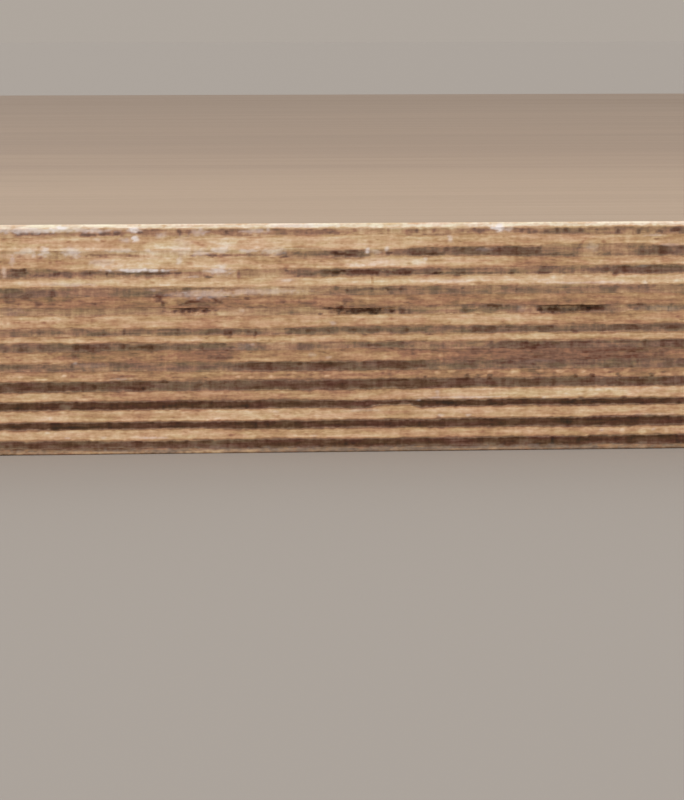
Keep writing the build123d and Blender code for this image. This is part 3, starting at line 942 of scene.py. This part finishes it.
    *several(light, (1.1, 1.1, 0.06), (32.2, -44.4, -38.5, -34.6, 43.3, 46.2, 49.6)),
    pale(-28.5, 32.5, 5, 0.35, 0.35, 0.3),
    *several(dark, (0.9, 0.35, 0.1, 0.4), (32.2, -24.2, -17, -5.5)),
    dark(-3.7, 31.75, 0.8, 0.35, 0.1, 0.4), dark(20.7, 32, 3.5, 0.4, 0.05, 0.8),
    *several(pale, (0.7, 0.5, 0.25, 0.3), (32, 40, 41.5, 48)),
    # Ply 24
    dark(1.5, 33.5, 3, 1, 0.05, 0.7), dark(7.5, 33.5, 7, 1, 0.03, -0.5),
    light(28.5, 33.6, 5, 0.8, 0.05, -0.6), dark(34, 33.2, 8, 0.6, 0.04, 0.6),
    # Ply 25
    light(-38, 34.7, 30, 0.6, 0.1), light(-19, 34.7, 14, 0.6, 0.08, -0.5),
    light(0, 34.8, 108, 0.5, 0.06), Mark(0, 34.6, 120, 1, -0.05, 0.12, -0.9, 0),
    dark(1.5, 34.5, 3, 0.5, 0.06, -0.4), dark(9, 34.7, 18, 0.6, 0.05),
    dark(45, 34.7, 18, 0.6, 0.04),
)
print(f"{len(MARKS)} marks on the front edge, the longest {max(mark.length for mark in MARKS)} mm")

# %% Lay the marks over a ply
MARK_CORE, MARK_RIM = 0.30, 1.35
BLEACH_FLOOR = 0.5
RAGGED = ((0.45, 0.45, 0.3, 61), (0.25, 1.3, 0.5, 62))
SPECKLE_ALONG, SPECKLE_DOWN = 0.35, 0.28
Marked = namedtuple("Marked", "tone bleach red")


def mark_changes(z):
    """The change of tone, bleaching and redness from every mark, at each point of a grid. A mark
    is an ellipse, full where the root of (x/a)^2 + (h/b)^2 is small and gone where it passes
    about one. Random fields added to that root make the outline ragged: RAGGED has each one's
    share, its length and height in millimetres, and its seed."""
    x = ruler
    down = (TOP - z) / MM
    ragged = sum(share * field(x / long, down / high, seed) for share, long, high, seed in RAGGED)
    speckle = 0.5 + 0.5 * field(x / SPECKLE_ALONG, down / SPECKLE_DOWN, seed=63)
    tone, bleach, red = (np.zeros_like(down) for _ in range(3))
    for mark in MARKS:
        reach = mark.height * MARK_RIM + abs(mark.slope) * mark.length
        if mark.down + reach < down.min() or mark.down - reach > down.max():
            continue
        away = (x - mark.along) / (mark.length / 2)
        off = (down - mark.down - mark.slope * (x - mark.along)) / (mark.height / 2)
        strength = 1 - rise(np.hypot(away, off) + ragged, MARK_CORE, MARK_RIM)
        tone += mark.tone * strength
        bleach = np.maximum(bleach, mark.bleach * strength)
        red += mark.red * strength
    bleach = bleach * (BLEACH_FLOOR + (1 - BLEACH_FLOOR) * speckle)
    return Marked(tone * in_front, bleach * in_front, red * in_front)


half_way_down = mark_changes(np.full((1, len(ring.x)), TOP / 2))
print(f"half-way down, marks reach {np.count_nonzero(half_way_down.red)} columns")

# %% [markdown]
# ## Putting a ply together
#
# A ribbon's rows are closer together near the glue lines, where the relief turns sharply. A face
# veneer's ribbon also goes round its eased outer arris, an arc of three tenths of a millimetre.
# The lids are flat, so their triangles can be long, and one triangulation of the outline serves
# them all.
#
# Seven things are stored on the mesh for the material: how far across the ply a point lies, the
# tone of the wood there, how bleached and how red it is, whether it lies away from the listed
# marks, and whether a face shows cut ends or is a lid.

# %% Triangulate the lid and set out the rows
ARRIS_RADIUS = 0.3 * MM
ARRIS_ROWS = 5
TOUCHING = 1e-9
SIDE_ROWS = np.array(
    [0, 0.05, 0.12, 0.20, 0.29, 0.385, 0.48, 0.575, 0.67, 0.76, 0.85, 0.93, 1.0]
)
END_ROWS = np.array([0, 0.06, 0.15, 0.27, 0.39, 0.51, 0.63, 0.75, 0.86, 0.94, 1.0])
FACE_ROWS = np.array([0, 0.12, 0.3, 0.5, 0.75, 1.0])


def triangulate_outline():
    """Triangles that fill the sheet's outline, as three rows of column numbers, facing up."""
    outline = [Vector((x, y)) for x, y in zip(ring.x.tolist(), ring.y.tolist())]
    edges = [(j, (j + 1) % len(outline)) for j in range(len(outline))]
    only_inside = 1
    found = delaunay_2d_cdt(outline, edges, [], only_inside, TOUCHING)
    triangles = np.array([list(face) for face in found[2]])
    original = np.array([ids[0] for ids in found[3]])
    triangles = original[triangles]
    a, b, c = (np.column_stack([ring.x, ring.y])[triangles[:, k]] for k in range(3))
    (along_x, along_y), (other_x, other_y) = (b - a).T, (c - a).T
    turn = along_x * other_y - along_y * other_x
    return np.where((turn < 0)[:, None], triangles[:, ::-1], triangles)


lid = triangulate_outline()
print(f"{len(lid)} triangles fill the outline of {len(ring.x)} columns")

# %% A ribbon's points
Ribbon = namedtuple("Ribbon", "z across inset")


def plain_ribbon(low, high, rows):
    """Rows between two glue lines at fixed shares of the ply's thickness."""
    across = np.repeat(rows[:, None], len(ring.x), axis=1)
    return Ribbon(low + across * (high - low), across, np.zeros_like(across))


def face_ribbon(low, high, is_top):
    """Rows of a face veneer: a square stretch from the glue line, then the eased arris, where a
    point at the angle a lies r (1 - cos a) inside the outline and r (1 - sin a) short of the
    outer face."""
    angle = np.linspace(0, math.pi / 2, ARRIS_ROWS + 1)[1:, None]
    inner, outer = (low, high) if is_top else (high, low)
    away = 1 if is_top else -1
    shoulder = outer - away * ARRIS_RADIUS
    square = inner + FACE_ROWS[:, None] * (shoulder - inner)
    arc = outer - away * ARRIS_RADIUS * (1 - np.sin(angle)) + 0 * inner
    z = np.concatenate([square, arc])
    inset = np.concatenate([0 * square, ARRIS_RADIUS * (1 - np.cos(angle)) + 0 * arc])
    if not is_top:
        z, inset = z[::-1], inset[::-1]
    return Ribbon(z, (z - low) / (high - low), inset)


def ribbon_of(ply):
    """The ribbon of any ply, by its kind."""
    high, low = heights[ply.number - 1], heights[ply.number]
    if ply.number in (1, len(stack)):
        return face_ribbon(low, high, ply.number == 1)
    return plain_ribbon(low, high, SIDE_ROWS if ply.along_sheet else END_ROWS)


print("rows a ply:", [len(ribbon_of(ply).z) - 1 for ply in stack])

# %% [markdown]
# ## A map for baked pictures
#
# Each ply's colours can be baked into one square picture. An ordinary
# unwrapping would shrink a ribbon 7.3 metres long and 1.5 millimetres high to less than a pixel.
# So the ribbon is cut into short strips that are stacked like the lines of a page, and the lids
# that nobody sees share a narrow band at the top of the page. A face veneer's outer lid does
# show, and has half of the page.

# %% Lay the ribbon out as lines on a page
LINES, FACE_LINES = 62, 30
LINE_FILL = 0.86
HIDDEN_BAND, HIDDEN_WIDTH = 0.02, 0.04
FACE_SHARE, FACE_FILL = 0.5, 0.99


def ribbon_page(ribbon, lines, bottom, top):
    """Page places for the four corners of each ribbon face. The line is how often the travel to
    the face's first column holds a line's length, and what is left over is the place along the
    line."""
    rows = len(ribbon.z)
    total = ring.travel[-1] + ring.gap[-1]
    longest = ring.gap.max()
    piece = total / lines
    line = np.minimum(np.floor(ring.travel / piece), lines - 1)
    start = (ring.travel - line * piece) / (piece + longest)
    width = np.hypot(np.roll(ring.x, -1) - ring.x, np.roll(ring.y, -1) - ring.y) / (piece + longest)
    pitch = (top - bottom) / lines
    share = np.linspace(0, 1, rows)[:, None]
    v = bottom + pitch * (line[None, :] + (1 - LINE_FILL) / 2 + LINE_FILL * share)
    u0 = np.repeat(start[None, :], rows - 1, axis=0)
    u1 = u0 + width[None, :]
    corners = [(u0, v[:-1]), (u1, v[:-1]), (u1, v[1:]), (u0, v[1:])]
    return np.stack([np.stack(pair, axis=-1) for pair in corners], axis=2).reshape(-1, 2)


def lid_page(faces, left, bottom, width, height):
    """Page places for the corners of a lid's triangles, as a plan of the sheet in a given box."""
    u = left + width * (ring.x[faces] / LENGTH + 0.5)
    v = bottom + height * (ring.y[faces] / WIDTH + 0.5)
    return np.stack([u, v], axis=-1).reshape(-1, 2)


def page_places(ply, ribbon, lower_lid, upper_lid):
    """The whole page of a ply: its ribbon, then its lower and upper lid."""
    shown = {1: "upper", len(stack): "lower"}.get(ply.number)
    bottom = FACE_SHARE if shown else 0.0
    lines = FACE_LINES if shown else LINES
    hidden = 1 - HIDDEN_BAND
    small = (HIDDEN_WIDTH, HIDDEN_BAND)
    boxes = {"lower": (0.0, hidden, *small), "upper": (0.5, hidden, *small)}
    if shown:
        boxes[shown] = (0.0, 0.0, 1.0, FACE_SHARE * FACE_FILL)
    pages = [ribbon_page(ribbon, lines, bottom, hidden)]
    pages += [lid_page(lower_lid, *boxes["lower"]), lid_page(upper_lid, *boxes["upper"])]
    return np.concatenate(pages)


print(f"{LINES} lines a page, {FACE_LINES} on a face veneer's page")

# %% Turn a ribbon and two lids into a mesh
SHARP = math.radians(50)


def add_values(mesh, name, domain, values):
    """Stores one number for each point or face under a name that a material can read."""
    layer = mesh.attributes.new(name, "FLOAT", domain)
    layer.data.foreach_set("value", np.asarray(values, np.float32).ravel())


def fill_mesh(mesh, points, quads, triangles):
    """Puts points, four-sided faces and triangles into an empty mesh."""
    mesh.vertices.add(len(points))
    mesh.vertices.foreach_set("co", points.astype(np.float32).ravel())
    corners = np.concatenate([quads.ravel(), triangles.ravel()])
    sizes = np.concatenate([np.full(len(quads), 4), np.full(len(triangles), 3)])
    mesh.loops.add(len(corners))
    mesh.loops.foreach_set("vertex_index", corners.astype(np.int32))
    mesh.polygons.add(len(sizes))
    starts = np.concatenate([[0], np.cumsum(sizes)[:-1]])
    mesh.polygons.foreach_set("loop_start", starts.astype(np.int32))
    mesh.update(calc_edges=True)
    mesh.validate()


def store_wood(mesh, ply, ribbon):
    """Stores on a ply's mesh what its material reads."""
    rows = len(ribbon.z)
    marked = mark_changes(ribbon.z)
    add_values(mesh, "across", "POINT", ribbon.across)
    add_values(mesh, "tone", "POINT", smeared_tone(ply, ribbon.z) + marked.tone)
    add_values(mesh, "bleach", "POINT", marked.bleach)
    add_values(mesh, "redness", "POINT", marked.red)
    add_values(mesh, "unlisted", "POINT", np.zeros_like(ribbon.z) + 1 - close_up)
    end_on = np.repeat(cut_across(ply)[ring.side][None, :], rows - 1, axis=0).ravel()
    add_values(mesh, "end_grain", "FACE", np.concatenate([end_on, np.zeros(2 * len(lid))]))
    add_values(mesh, "lid", "FACE", np.concatenate([0 * end_on, np.ones(2 * len(lid))]))


def build_ply(ply):
    """One ply's mesh: quads between neighbouring columns and rows, and the two lids."""
    ribbon = ribbon_of(ply)
    rows, columns = ribbon.z.shape
    depth = ribbon.inset + edge_depth(ply, ribbon.z, ribbon.across)
    points = np.stack([ring.x - ring.out_x * depth, ring.y - ring.out_y * depth, ribbon.z], axis=-1)
    number = np.arange(rows * columns).reshape(rows, columns)
    next_column = np.roll(number, -1, axis=1)
    quads = np.stack([number[:-1], next_column[:-1], next_column[1:], number[1:]], axis=-1)
    lower_lid, upper_lid = lid[:, ::-1], lid
    triangles = np.concatenate([lower_lid, upper_lid + (rows - 1) * columns])
    mesh = bpy.data.meshes.new(ply.name + "_wood")
    fill_mesh(mesh, points.reshape(-1, 3), quads.reshape(-1, 4), triangles)
    store_wood(mesh, ply, ribbon)
    page = mesh.uv_layers.new(name="OFBake")
    places = page_places(ply, ribbon, lower_lid, upper_lid)
    page.data.foreach_set("uv", places.astype(np.float32).ravel())
    mesh.polygons.foreach_set("use_smooth", np.ones(len(mesh.polygons), bool))
    mesh.set_sharp_from_angle(angle=SHARP)
    return mesh


print("edges sharper than", round(math.degrees(SHARP)), "degrees stay sharp")

# %% [markdown]
# ## One ramp of wood colours
#
# Pale sapwood, tan, red-brown heartwood and nearly black torn ends all lie on one line of
# colours. So every pattern in the veneers works on a single number, the tone, and one ramp turns
# it into a colour at the very end. The ramp's places are the brightness at which each colour
# shows, so a tone can be read off a photograph by eye. Two tinted copies of the ramp, a redder
# and a more olive one, are mixed in patches, because wood is never of one hue. The cross veneers
# are a little greyer, from the dust in their cut ends.

# %% A small helper for material nodes
WOOD_COLOURS = (
    (0.08, (0.10, 0.07, 0.06)), (0.18, (0.248, 0.16, 0.108)), (0.25, (0.341, 0.206, 0.13)),
    (0.32, (0.418, 0.289, 0.212)), (0.40, (0.49, 0.38, 0.30)), (0.51, (0.63, 0.472, 0.355)),
    (0.60, (0.727, 0.57, 0.425)), (0.69, (0.805, 0.665, 0.52)), (0.77, (0.862, 0.745, 0.605)),
    (0.84, (0.90, 0.817, 0.718)), (0.93, (0.97, 0.92, 0.82)),
)
REDDER = np.array([0.013, -0.020, 0.008])
GREYER = np.array([-0.012, 0.006, 0.016])
LEAST_NOISE, MOST_NOISE = 0.22, 0.78
Layer = namedtuple("Layer", "cell amount detail distortion roughness", defaults=(0.0, 0.55))


class Recipe:
    """A material's nodes, added one by one. Most steps take numbers or other nodes' outputs, and
    give back the output of the node that they add."""

    def __init__(self, name):
        self.material = bpy.data.materials.new(name)
        self.material.use_nodes = True
        self.tree = self.material.node_tree
        self.shader = self.tree.nodes["Principled BSDF"]
        self.place = self.add("ShaderNodeTexCoord", {}).outputs["Object"]

    def add(self, kind, sockets, **settings):
        """A new node of this material."""
        return add_node(self.tree, kind, sockets, **settings)

    def stored(self, name):
        """A number that is stored on the mesh."""
        return self.add("ShaderNodeAttribute", {}, attribute_name=name).outputs["Fac"]

    def axes(self):
        """The place along X, Y and Z in metres."""
        return self.add("ShaderNodeSeparateXYZ", {0: self.place}).outputs

    def maths(self, operation, a, b=0.0):
        """One step of arithmetic."""
        return self.add("ShaderNodeMath", {0: a, 1: b}, operation=operation).outputs[0]

    def times(self, a, b):
        """The product of two numbers."""
        return self.maths("MULTIPLY", a, b)

    def sum(self, *terms):
        """The sum of any number of terms."""
        total = terms[0]
        for term in terms[1:]:
            total = self.maths("ADD", total, term)
        return total

    def between(self, value, low, high, to_low=0.0, to_high=1.0):
        """The value carried from one range to another along an S-curve."""
        sockets = {0: value, 1: low, 2: high, 3: to_low, 4: to_high}
        node = self.add("ShaderNodeMapRange", sockets, interpolation_type="SMOOTHSTEP")
        return node.outputs[0]

    def noise(self, cell, detail=2.0, distortion=0.0, roughness=0.55, shift=0.0):
        """Noise whose hills are as long as cell says along X, Y and Z, in millimetres."""
        scale = tuple(1 / (size * MM) for size in cell)
        sockets = {"Vector": self.place, "Scale": scale, "Location": (shift, shift, shift)}
        place = self.add("ShaderNodeMapping", sockets).outputs[0]
        sockets = {"Vector": place, "Scale": 1.0, "Detail": detail}
        sockets |= {"Roughness": roughness, "Distortion": distortion}
        return self.add("ShaderNodeTexNoise", sockets).outputs[0]

    def layers(self, layers):
        """The sum of several noises, each of which swings by its own amount."""
        noises = [self.noise(layer.cell, *layer[2:]) for layer in layers]
        return self.sum(*(self.swing(noise, layer.amount) for noise, layer in zip(noises, layers)))

    def swing(self, noise, amount):
        """Noise of 0 to 1 turned into a change about zero, up to the amount either way. Noise
        seldom leaves the range from LEAST_NOISE to MOST_NOISE."""
        return self.between(noise, LEAST_NOISE, MOST_NOISE, -amount, amount)

    def mix(self, factor, a, b):
        """One colour, changing to another as the factor goes from 0 to 1."""
        node = self.add("ShaderNodeMix", {0: factor, 6: a, 7: b}, data_type="RGBA")
        return node.outputs[2]

    def mix_number(self, factor, a, b):
        """One number, changing to another as the factor goes from 0 to 1."""
        return self.add("ShaderNodeMix", {0: factor, 2: a, 3: b}, data_type="FLOAT").outputs[0]

    def ramp(self, value, stops, shift=0.0):
        """The stops' colour at a value, each shifted by a little red, green and blue."""
        node = self.add("ShaderNodeValToRGB", {"Fac": value})
        while len(node.color_ramp.elements) < len(stops):
            node.color_ramp.elements.new(0.5)
        for element, (place, colour) in zip(node.color_ramp.elements, stops):
            element.position = place
            element.color = linear(np.array(colour) + shift)
        return node.outputs["Color"]


print(f"a ramp of {len(WOOD_COLOURS)} wood colours")

# %% [markdown]
# ## The grain of a veneer
#
# Fibres cut along their length show as streaks: broad soft ones a few millimetres apart, and fine
# ones a fifth of a millimetre wide, with short dark dashes where a pore was opened. Cut ends show
# another pattern: faint upright lines where rays cross the veneer, a mottle of harder and softer
# wood, and dots where pores open. Glue has soaked into the wood beside each glue line and
# darkened it. Each of these is one noise texture, read in millimetres of the sheet itself, so the
# grain runs true through each ply and on round its corners. Away from the listed marks, two more
# noises scatter hazes and spots of the same kind.
#
# A layer holds one noise: how long its hills are, how far it swings the tone, and how detailed,
# how bent and how rough it is.

# %% The veneers' grain as nodes
BLEACHED = (0.93, 0.89, 0.875)
GLUE_DARKENS, GLUE_REACH = 0.025, 0.16
LEAST_SHOWN = 0.68
TINGE = 0.55
FUZZ = 0.14
BUMP_HEIGHT, BUMP_STRENGTH = 0.06 * MM, 0.4
EDGE_SHINE = 0.12
STREAKS = (
    Layer((24, 1.0), 0.055, 1, 0.4), Layer((2.4, 1.1), 0.05, 1, 0.3),
    Layer((4.0, 0.5), 0.055, 2, 0.15), Layer((0.7, 0.4), 0.038, 1), Layer((1.4, 0.16), 0.02, 1),
)
STRAWS = (
    Layer((0.6, 0.6, 3.0), 0.03, 1, 0.2), Layer((1.5, 1.5, 3.0), 0.045, 1, 0.3),
    Layer((2.2, 2.2, 0.6), 0.06, 2, 0.5), Layer((9.0, 9.0, 0.5), 0.045, 1, 0.5),
    Layer((0.35, 0.35, 0.35), 0.02, 1),
)


def along_grain(grain, length, breadth):
    """The size of a noise hill that is stretched along the grain, as X, Y and Z."""
    return (length, breadth, breadth) if grain == "X" else (breadth, length, breadth)


def streak_pattern(recipe, grain):
    """The change of tone where fibres are cut along their length: broad streaks, patches, fine
    streaks, speckle and hairs, then the dark dashes of opened pores."""
    turned = [layer._replace(cell=along_grain(grain, *layer.cell)) for layer in STREAKS]
    opened = recipe.noise(along_grain(grain, 1.6, 0.3), 1, 0.2, shift=7.3)
    pores = recipe.between(opened, 0.66, 0.80, 0.0, -0.12)
    return recipe.sum(recipe.layers(turned), pores)


def straw_pattern(recipe):
    """The change of tone where fibres are cut across: rays, bars, mottle, bands and grit, then
    the dark dots of opened pores."""
    opened = recipe.noise((0.3, 0.3, 0.3), 1, shift=3.1)
    pores = recipe.between(opened, 0.68, 0.8, 0.0, -0.08)
    return recipe.sum(recipe.layers(STRAWS), pores)


def glue_stain(recipe):
    """The darkening beside the glue lines, stronger in some places than in others."""
    across = recipe.stored("across")
    near_low = recipe.between(across, 0.0, GLUE_REACH, 1.0, 0.0)
    near_high = recipe.between(across, 1 - GLUE_REACH, 1.0, 0.0, 1.0)
    patchy = recipe.between(recipe.noise((6, 6, 0.8), 2), 0.35, 0.65, 0.2, 1.0)
    strength = recipe.times(recipe.maths("MAXIMUM", near_low, near_high), patchy)
    return recipe.times(strength, -GLUE_DARKENS)


def edge_tone(recipe, grain):
    """The tone of a ply's sawn edge: the stored tone of the wood, its grain and the saw's upright
    strokes, which show less in dark wood, the glue and the far spots."""
    end_grain = recipe.stored("end_grain")
    wood = recipe.stored("tone")
    streaks, straws = streak_pattern(recipe, grain), straw_pattern(recipe)
    strokes = recipe.swing(recipe.noise((1.2, 1.2, 9.0), 2, shift=6.2), 0.03)
    shows = recipe.between(wood, 0.24, 0.44, LEAST_SHOWN, 1.0)
    pattern = recipe.sum(recipe.mix_number(end_grain, streaks, straws), strokes)
    pattern = recipe.times(pattern, shows)
    spots = recipe.between(recipe.noise((1.2, 1.2, 0.45), 2, shift=4.4), 0.64, 0.76, 0.0, -0.13)
    far_spots = recipe.times(recipe.stored("unlisted"), spots)
    return recipe.sum(wood, pattern, glue_stain(recipe), far_spots)


def edge_colour(recipe, tone, shift):
    """The colour of a tone, redder or more olive in patches, and bleached by marks and hazes."""
    hue = recipe.swing(recipe.noise((6, 6, 1.1), 2, 0.4, shift=2.7), 0.7)
    tinge = recipe.between(recipe.sum(hue, recipe.stored("redness")), -1.0, 1.0)
    olive = recipe.ramp(tone, WOOD_COLOURS, shift - TINGE * REDDER)
    red = recipe.ramp(tone, WOOD_COLOURS, shift + TINGE * REDDER)
    haze = recipe.between(recipe.noise((3.4, 3.4, 0.7), 3, 0.5, shift=9.1), 0.56, 0.74, 0.0, 0.45)
    bleach = recipe.sum(recipe.stored("bleach"), recipe.times(recipe.stored("unlisted"), haze))
    return recipe.mix(bleach, recipe.mix(tinge, olive, red), linear(BLEACHED))


def edge_finish(recipe, grain, shift=0.0):
    """Colour, roughness and bump of a sawn edge."""
    colour = edge_colour(recipe, edge_tone(recipe, grain), shift)
    fuzz = recipe.noise((FUZZ, FUZZ, FUZZ), 3, roughness=0.65)
    grain_bump = recipe.noise(along_grain(grain, 1.2, 0.1), 2)
    height = recipe.mix_number(recipe.stored("end_grain"), grain_bump, fuzz)
    relief = {"Height": height, "Distance": BUMP_HEIGHT, "Strength": BUMP_STRENGTH}
    roughness = recipe.between(fuzz, 0.3, 0.7, 0.62, 0.86)
    return colour, roughness, recipe.add("ShaderNodeBump", relief).outputs[0]


def finished(recipe, colour, roughness, bump, shine):
    """The recipe's material, once its shader is plugged in."""
    for name, value in (("Base Color", colour), ("Roughness", roughness), ("Normal", bump)):
        plug(recipe.tree, recipe.shader.inputs[name], value)
    recipe.shader.inputs["Specular IOR Level"].default_value = shine
    return recipe.material


def veneer_material(name, grain, shift=0.0):
    """The finish of an inner ply whose grain runs along the given axis."""
    recipe = Recipe(name)
    return finished(recipe, *edge_finish(recipe, grain, shift), EDGE_SHINE)


finishes = {
    "long_veneer": veneer_material("sawn_long_veneer", "X"),
    "cross_veneer": veneer_material("sawn_cross_veneer", "Y", GREYER),
}
print("finishes:", *(finish.name for finish in finishes.values()))

# %% [markdown]
# ## The face veneers
#
# A face veneer is peeled from the log like paper from a roll, so its growth rings are cut at a
# very flat angle and spread into wide wandering contours, drawn out along the grain. The contours
# of a stretched noise do the same: where a smooth hill is sliced at even heights, the slices are
# nested loops and long flames. A second, smaller noise frays their borders into points, as the
# fibres do. A ring darkens slowly towards its late wood and then ends softly. Over the rings lie
# streaks of four sizes and short pore lines. Towards the front edge the veneer is painted paler:
# painted light that makes the front of the face brighter than its back. The wood is calm in the
# middle of the sheet, and livelier towards both ends.

# %% The face veneer's figure
FACE_COLOURS = (
    (0.0, (0.46, 0.38, 0.31)), (0.42, (0.619, 0.545, 0.482)), (0.60, (0.662, 0.577, 0.506)),
    (0.82, (0.725, 0.635, 0.550)), (1.0, (0.78, 0.695, 0.61)),
)
# The two gains are painted light: they make the face paler towards its front edge.
HEARTWOOD_TONE, FRONT_BAND_LIGHT_GAIN, FRONT_HALF_LIGHT_GAIN = 0.42, 0.32, 0.10
FRONT_LIGHT_BAND = 0.47
RINGS_IN_A_HILL = 13.0
FACE_STREAKS = (
    Layer((1300, 60, 20), 0.06, 2, 0.2), Layer((500, 12, 20), 0.06, 2),
    Layer((260, 4, 20), 0.09, 3, 0.0, 0.65),
)
FACE_SHINE = 0.15


def front_painted_light(recipe, lively):
    """Painted light: the face is paler towards the front edge, by a small gain from the middle of
    the sheet on and a larger one over a band along the front. Their borders wander where the wood
    is lively."""
    wander = recipe.times(recipe.swing(recipe.noise((700, 60, 20), 3, 0.2), 0.16), lively)
    inwards = recipe.sum(recipe.axes()[1], wander)
    front_half_light = recipe.between(inwards, -0.1, 0.45, FRONT_HALF_LIGHT_GAIN, 0.0)
    band = recipe.between(inwards, FRONT, FRONT + FRONT_LIGHT_BAND, FRONT_BAND_LIGHT_GAIN, 0.0)
    return recipe.sum(front_half_light, band)


def figure_tone(recipe):
    """The tone of a face veneer: the painted light towards the front, rings, streaks and pores."""
    frayed = recipe.swing(recipe.noise((220, 16, 20), 2), 0.02)
    hill = recipe.sum(recipe.noise((1700, 190, 20), 1), frayed)
    in_ring = recipe.maths("FRACT", recipe.times(hill, RINGS_IN_A_HILL))
    late_wood = recipe.between(in_ring, 0.2, 0.85, 0.0, -0.17)
    rings = recipe.times(late_wood, recipe.between(in_ring, 0.85, 1.0, 1.0, 0.0))
    uneven = recipe.swing(recipe.noise((240, 70, 20), 2, shift=8.3), 0.13)
    from_middle = recipe.sum(recipe.maths("ABSOLUTE", recipe.axes()[0]), uneven)
    lively = recipe.between(from_middle, 0.10, 0.55, 0.3, 1.0)
    figure = recipe.times(recipe.sum(rings, recipe.layers(FACE_STREAKS)), lively)
    fine = recipe.swing(recipe.noise((60, 1.2, 20), 3), 0.05)
    opened = recipe.noise((5, 0.3, 20), 1, shift=5.7)
    pores = recipe.between(opened, 0.68, 0.78, 0.0, -0.16)
    return recipe.sum(HEARTWOOD_TONE, front_painted_light(recipe, lively), figure, fine, pores)


def face_material():
    """The finish of a face veneer: the figure on its lids and the sawn finish on its edges."""
    recipe = Recipe("sanded_face_veneer")
    sawn_colour, sawn_roughness, bump = edge_finish(recipe, "X")
    tone = figure_tone(recipe)
    on_lid = recipe.stored("lid")
    colour = recipe.mix(on_lid, sawn_colour, recipe.ramp(tone, FACE_COLOURS))
    satin = recipe.between(tone, 0.2, 0.8, 0.68, 0.60)
    roughness = recipe.mix_number(on_lid, sawn_roughness, satin)
    return finished(recipe, colour, roughness, bump, FACE_SHINE)


finishes["face_veneer"] = face_material()
print("finish:", finishes["face_veneer"].name)

# %% [markdown]
# ## Dressing the stack
#
# Each ribbon takes the place of its own slab: it rides on the sheet, hides the slab it stands for
# and takes the finish of its kind.

# %% Build every ply
def finish_of(ply):
    """The name of a ply's finish: face, long or cross veneer."""
    if ply.number in (1, len(stack)):
        return "face_veneer"
    return "long_veneer" if ply.along_sheet else "cross_veneer"


def dress(ply):
    """Builds one ply around its slab and returns how many triangles it has."""
    mesh = build_ply(ply)
    mesh.materials.append(finishes[finish_of(ply)])
    piece = put_in_scene(ply.name + "_wood", mesh)
    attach(piece, "root")
    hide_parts(ply.name)
    return sum(len(polygon.vertices) - 2 for polygon in mesh.polygons)


triangles = [dress(ply) for ply in stack]
print(f"{len(triangles)} plies, {sum(triangles)} triangles, {max(triangles)} in the largest")
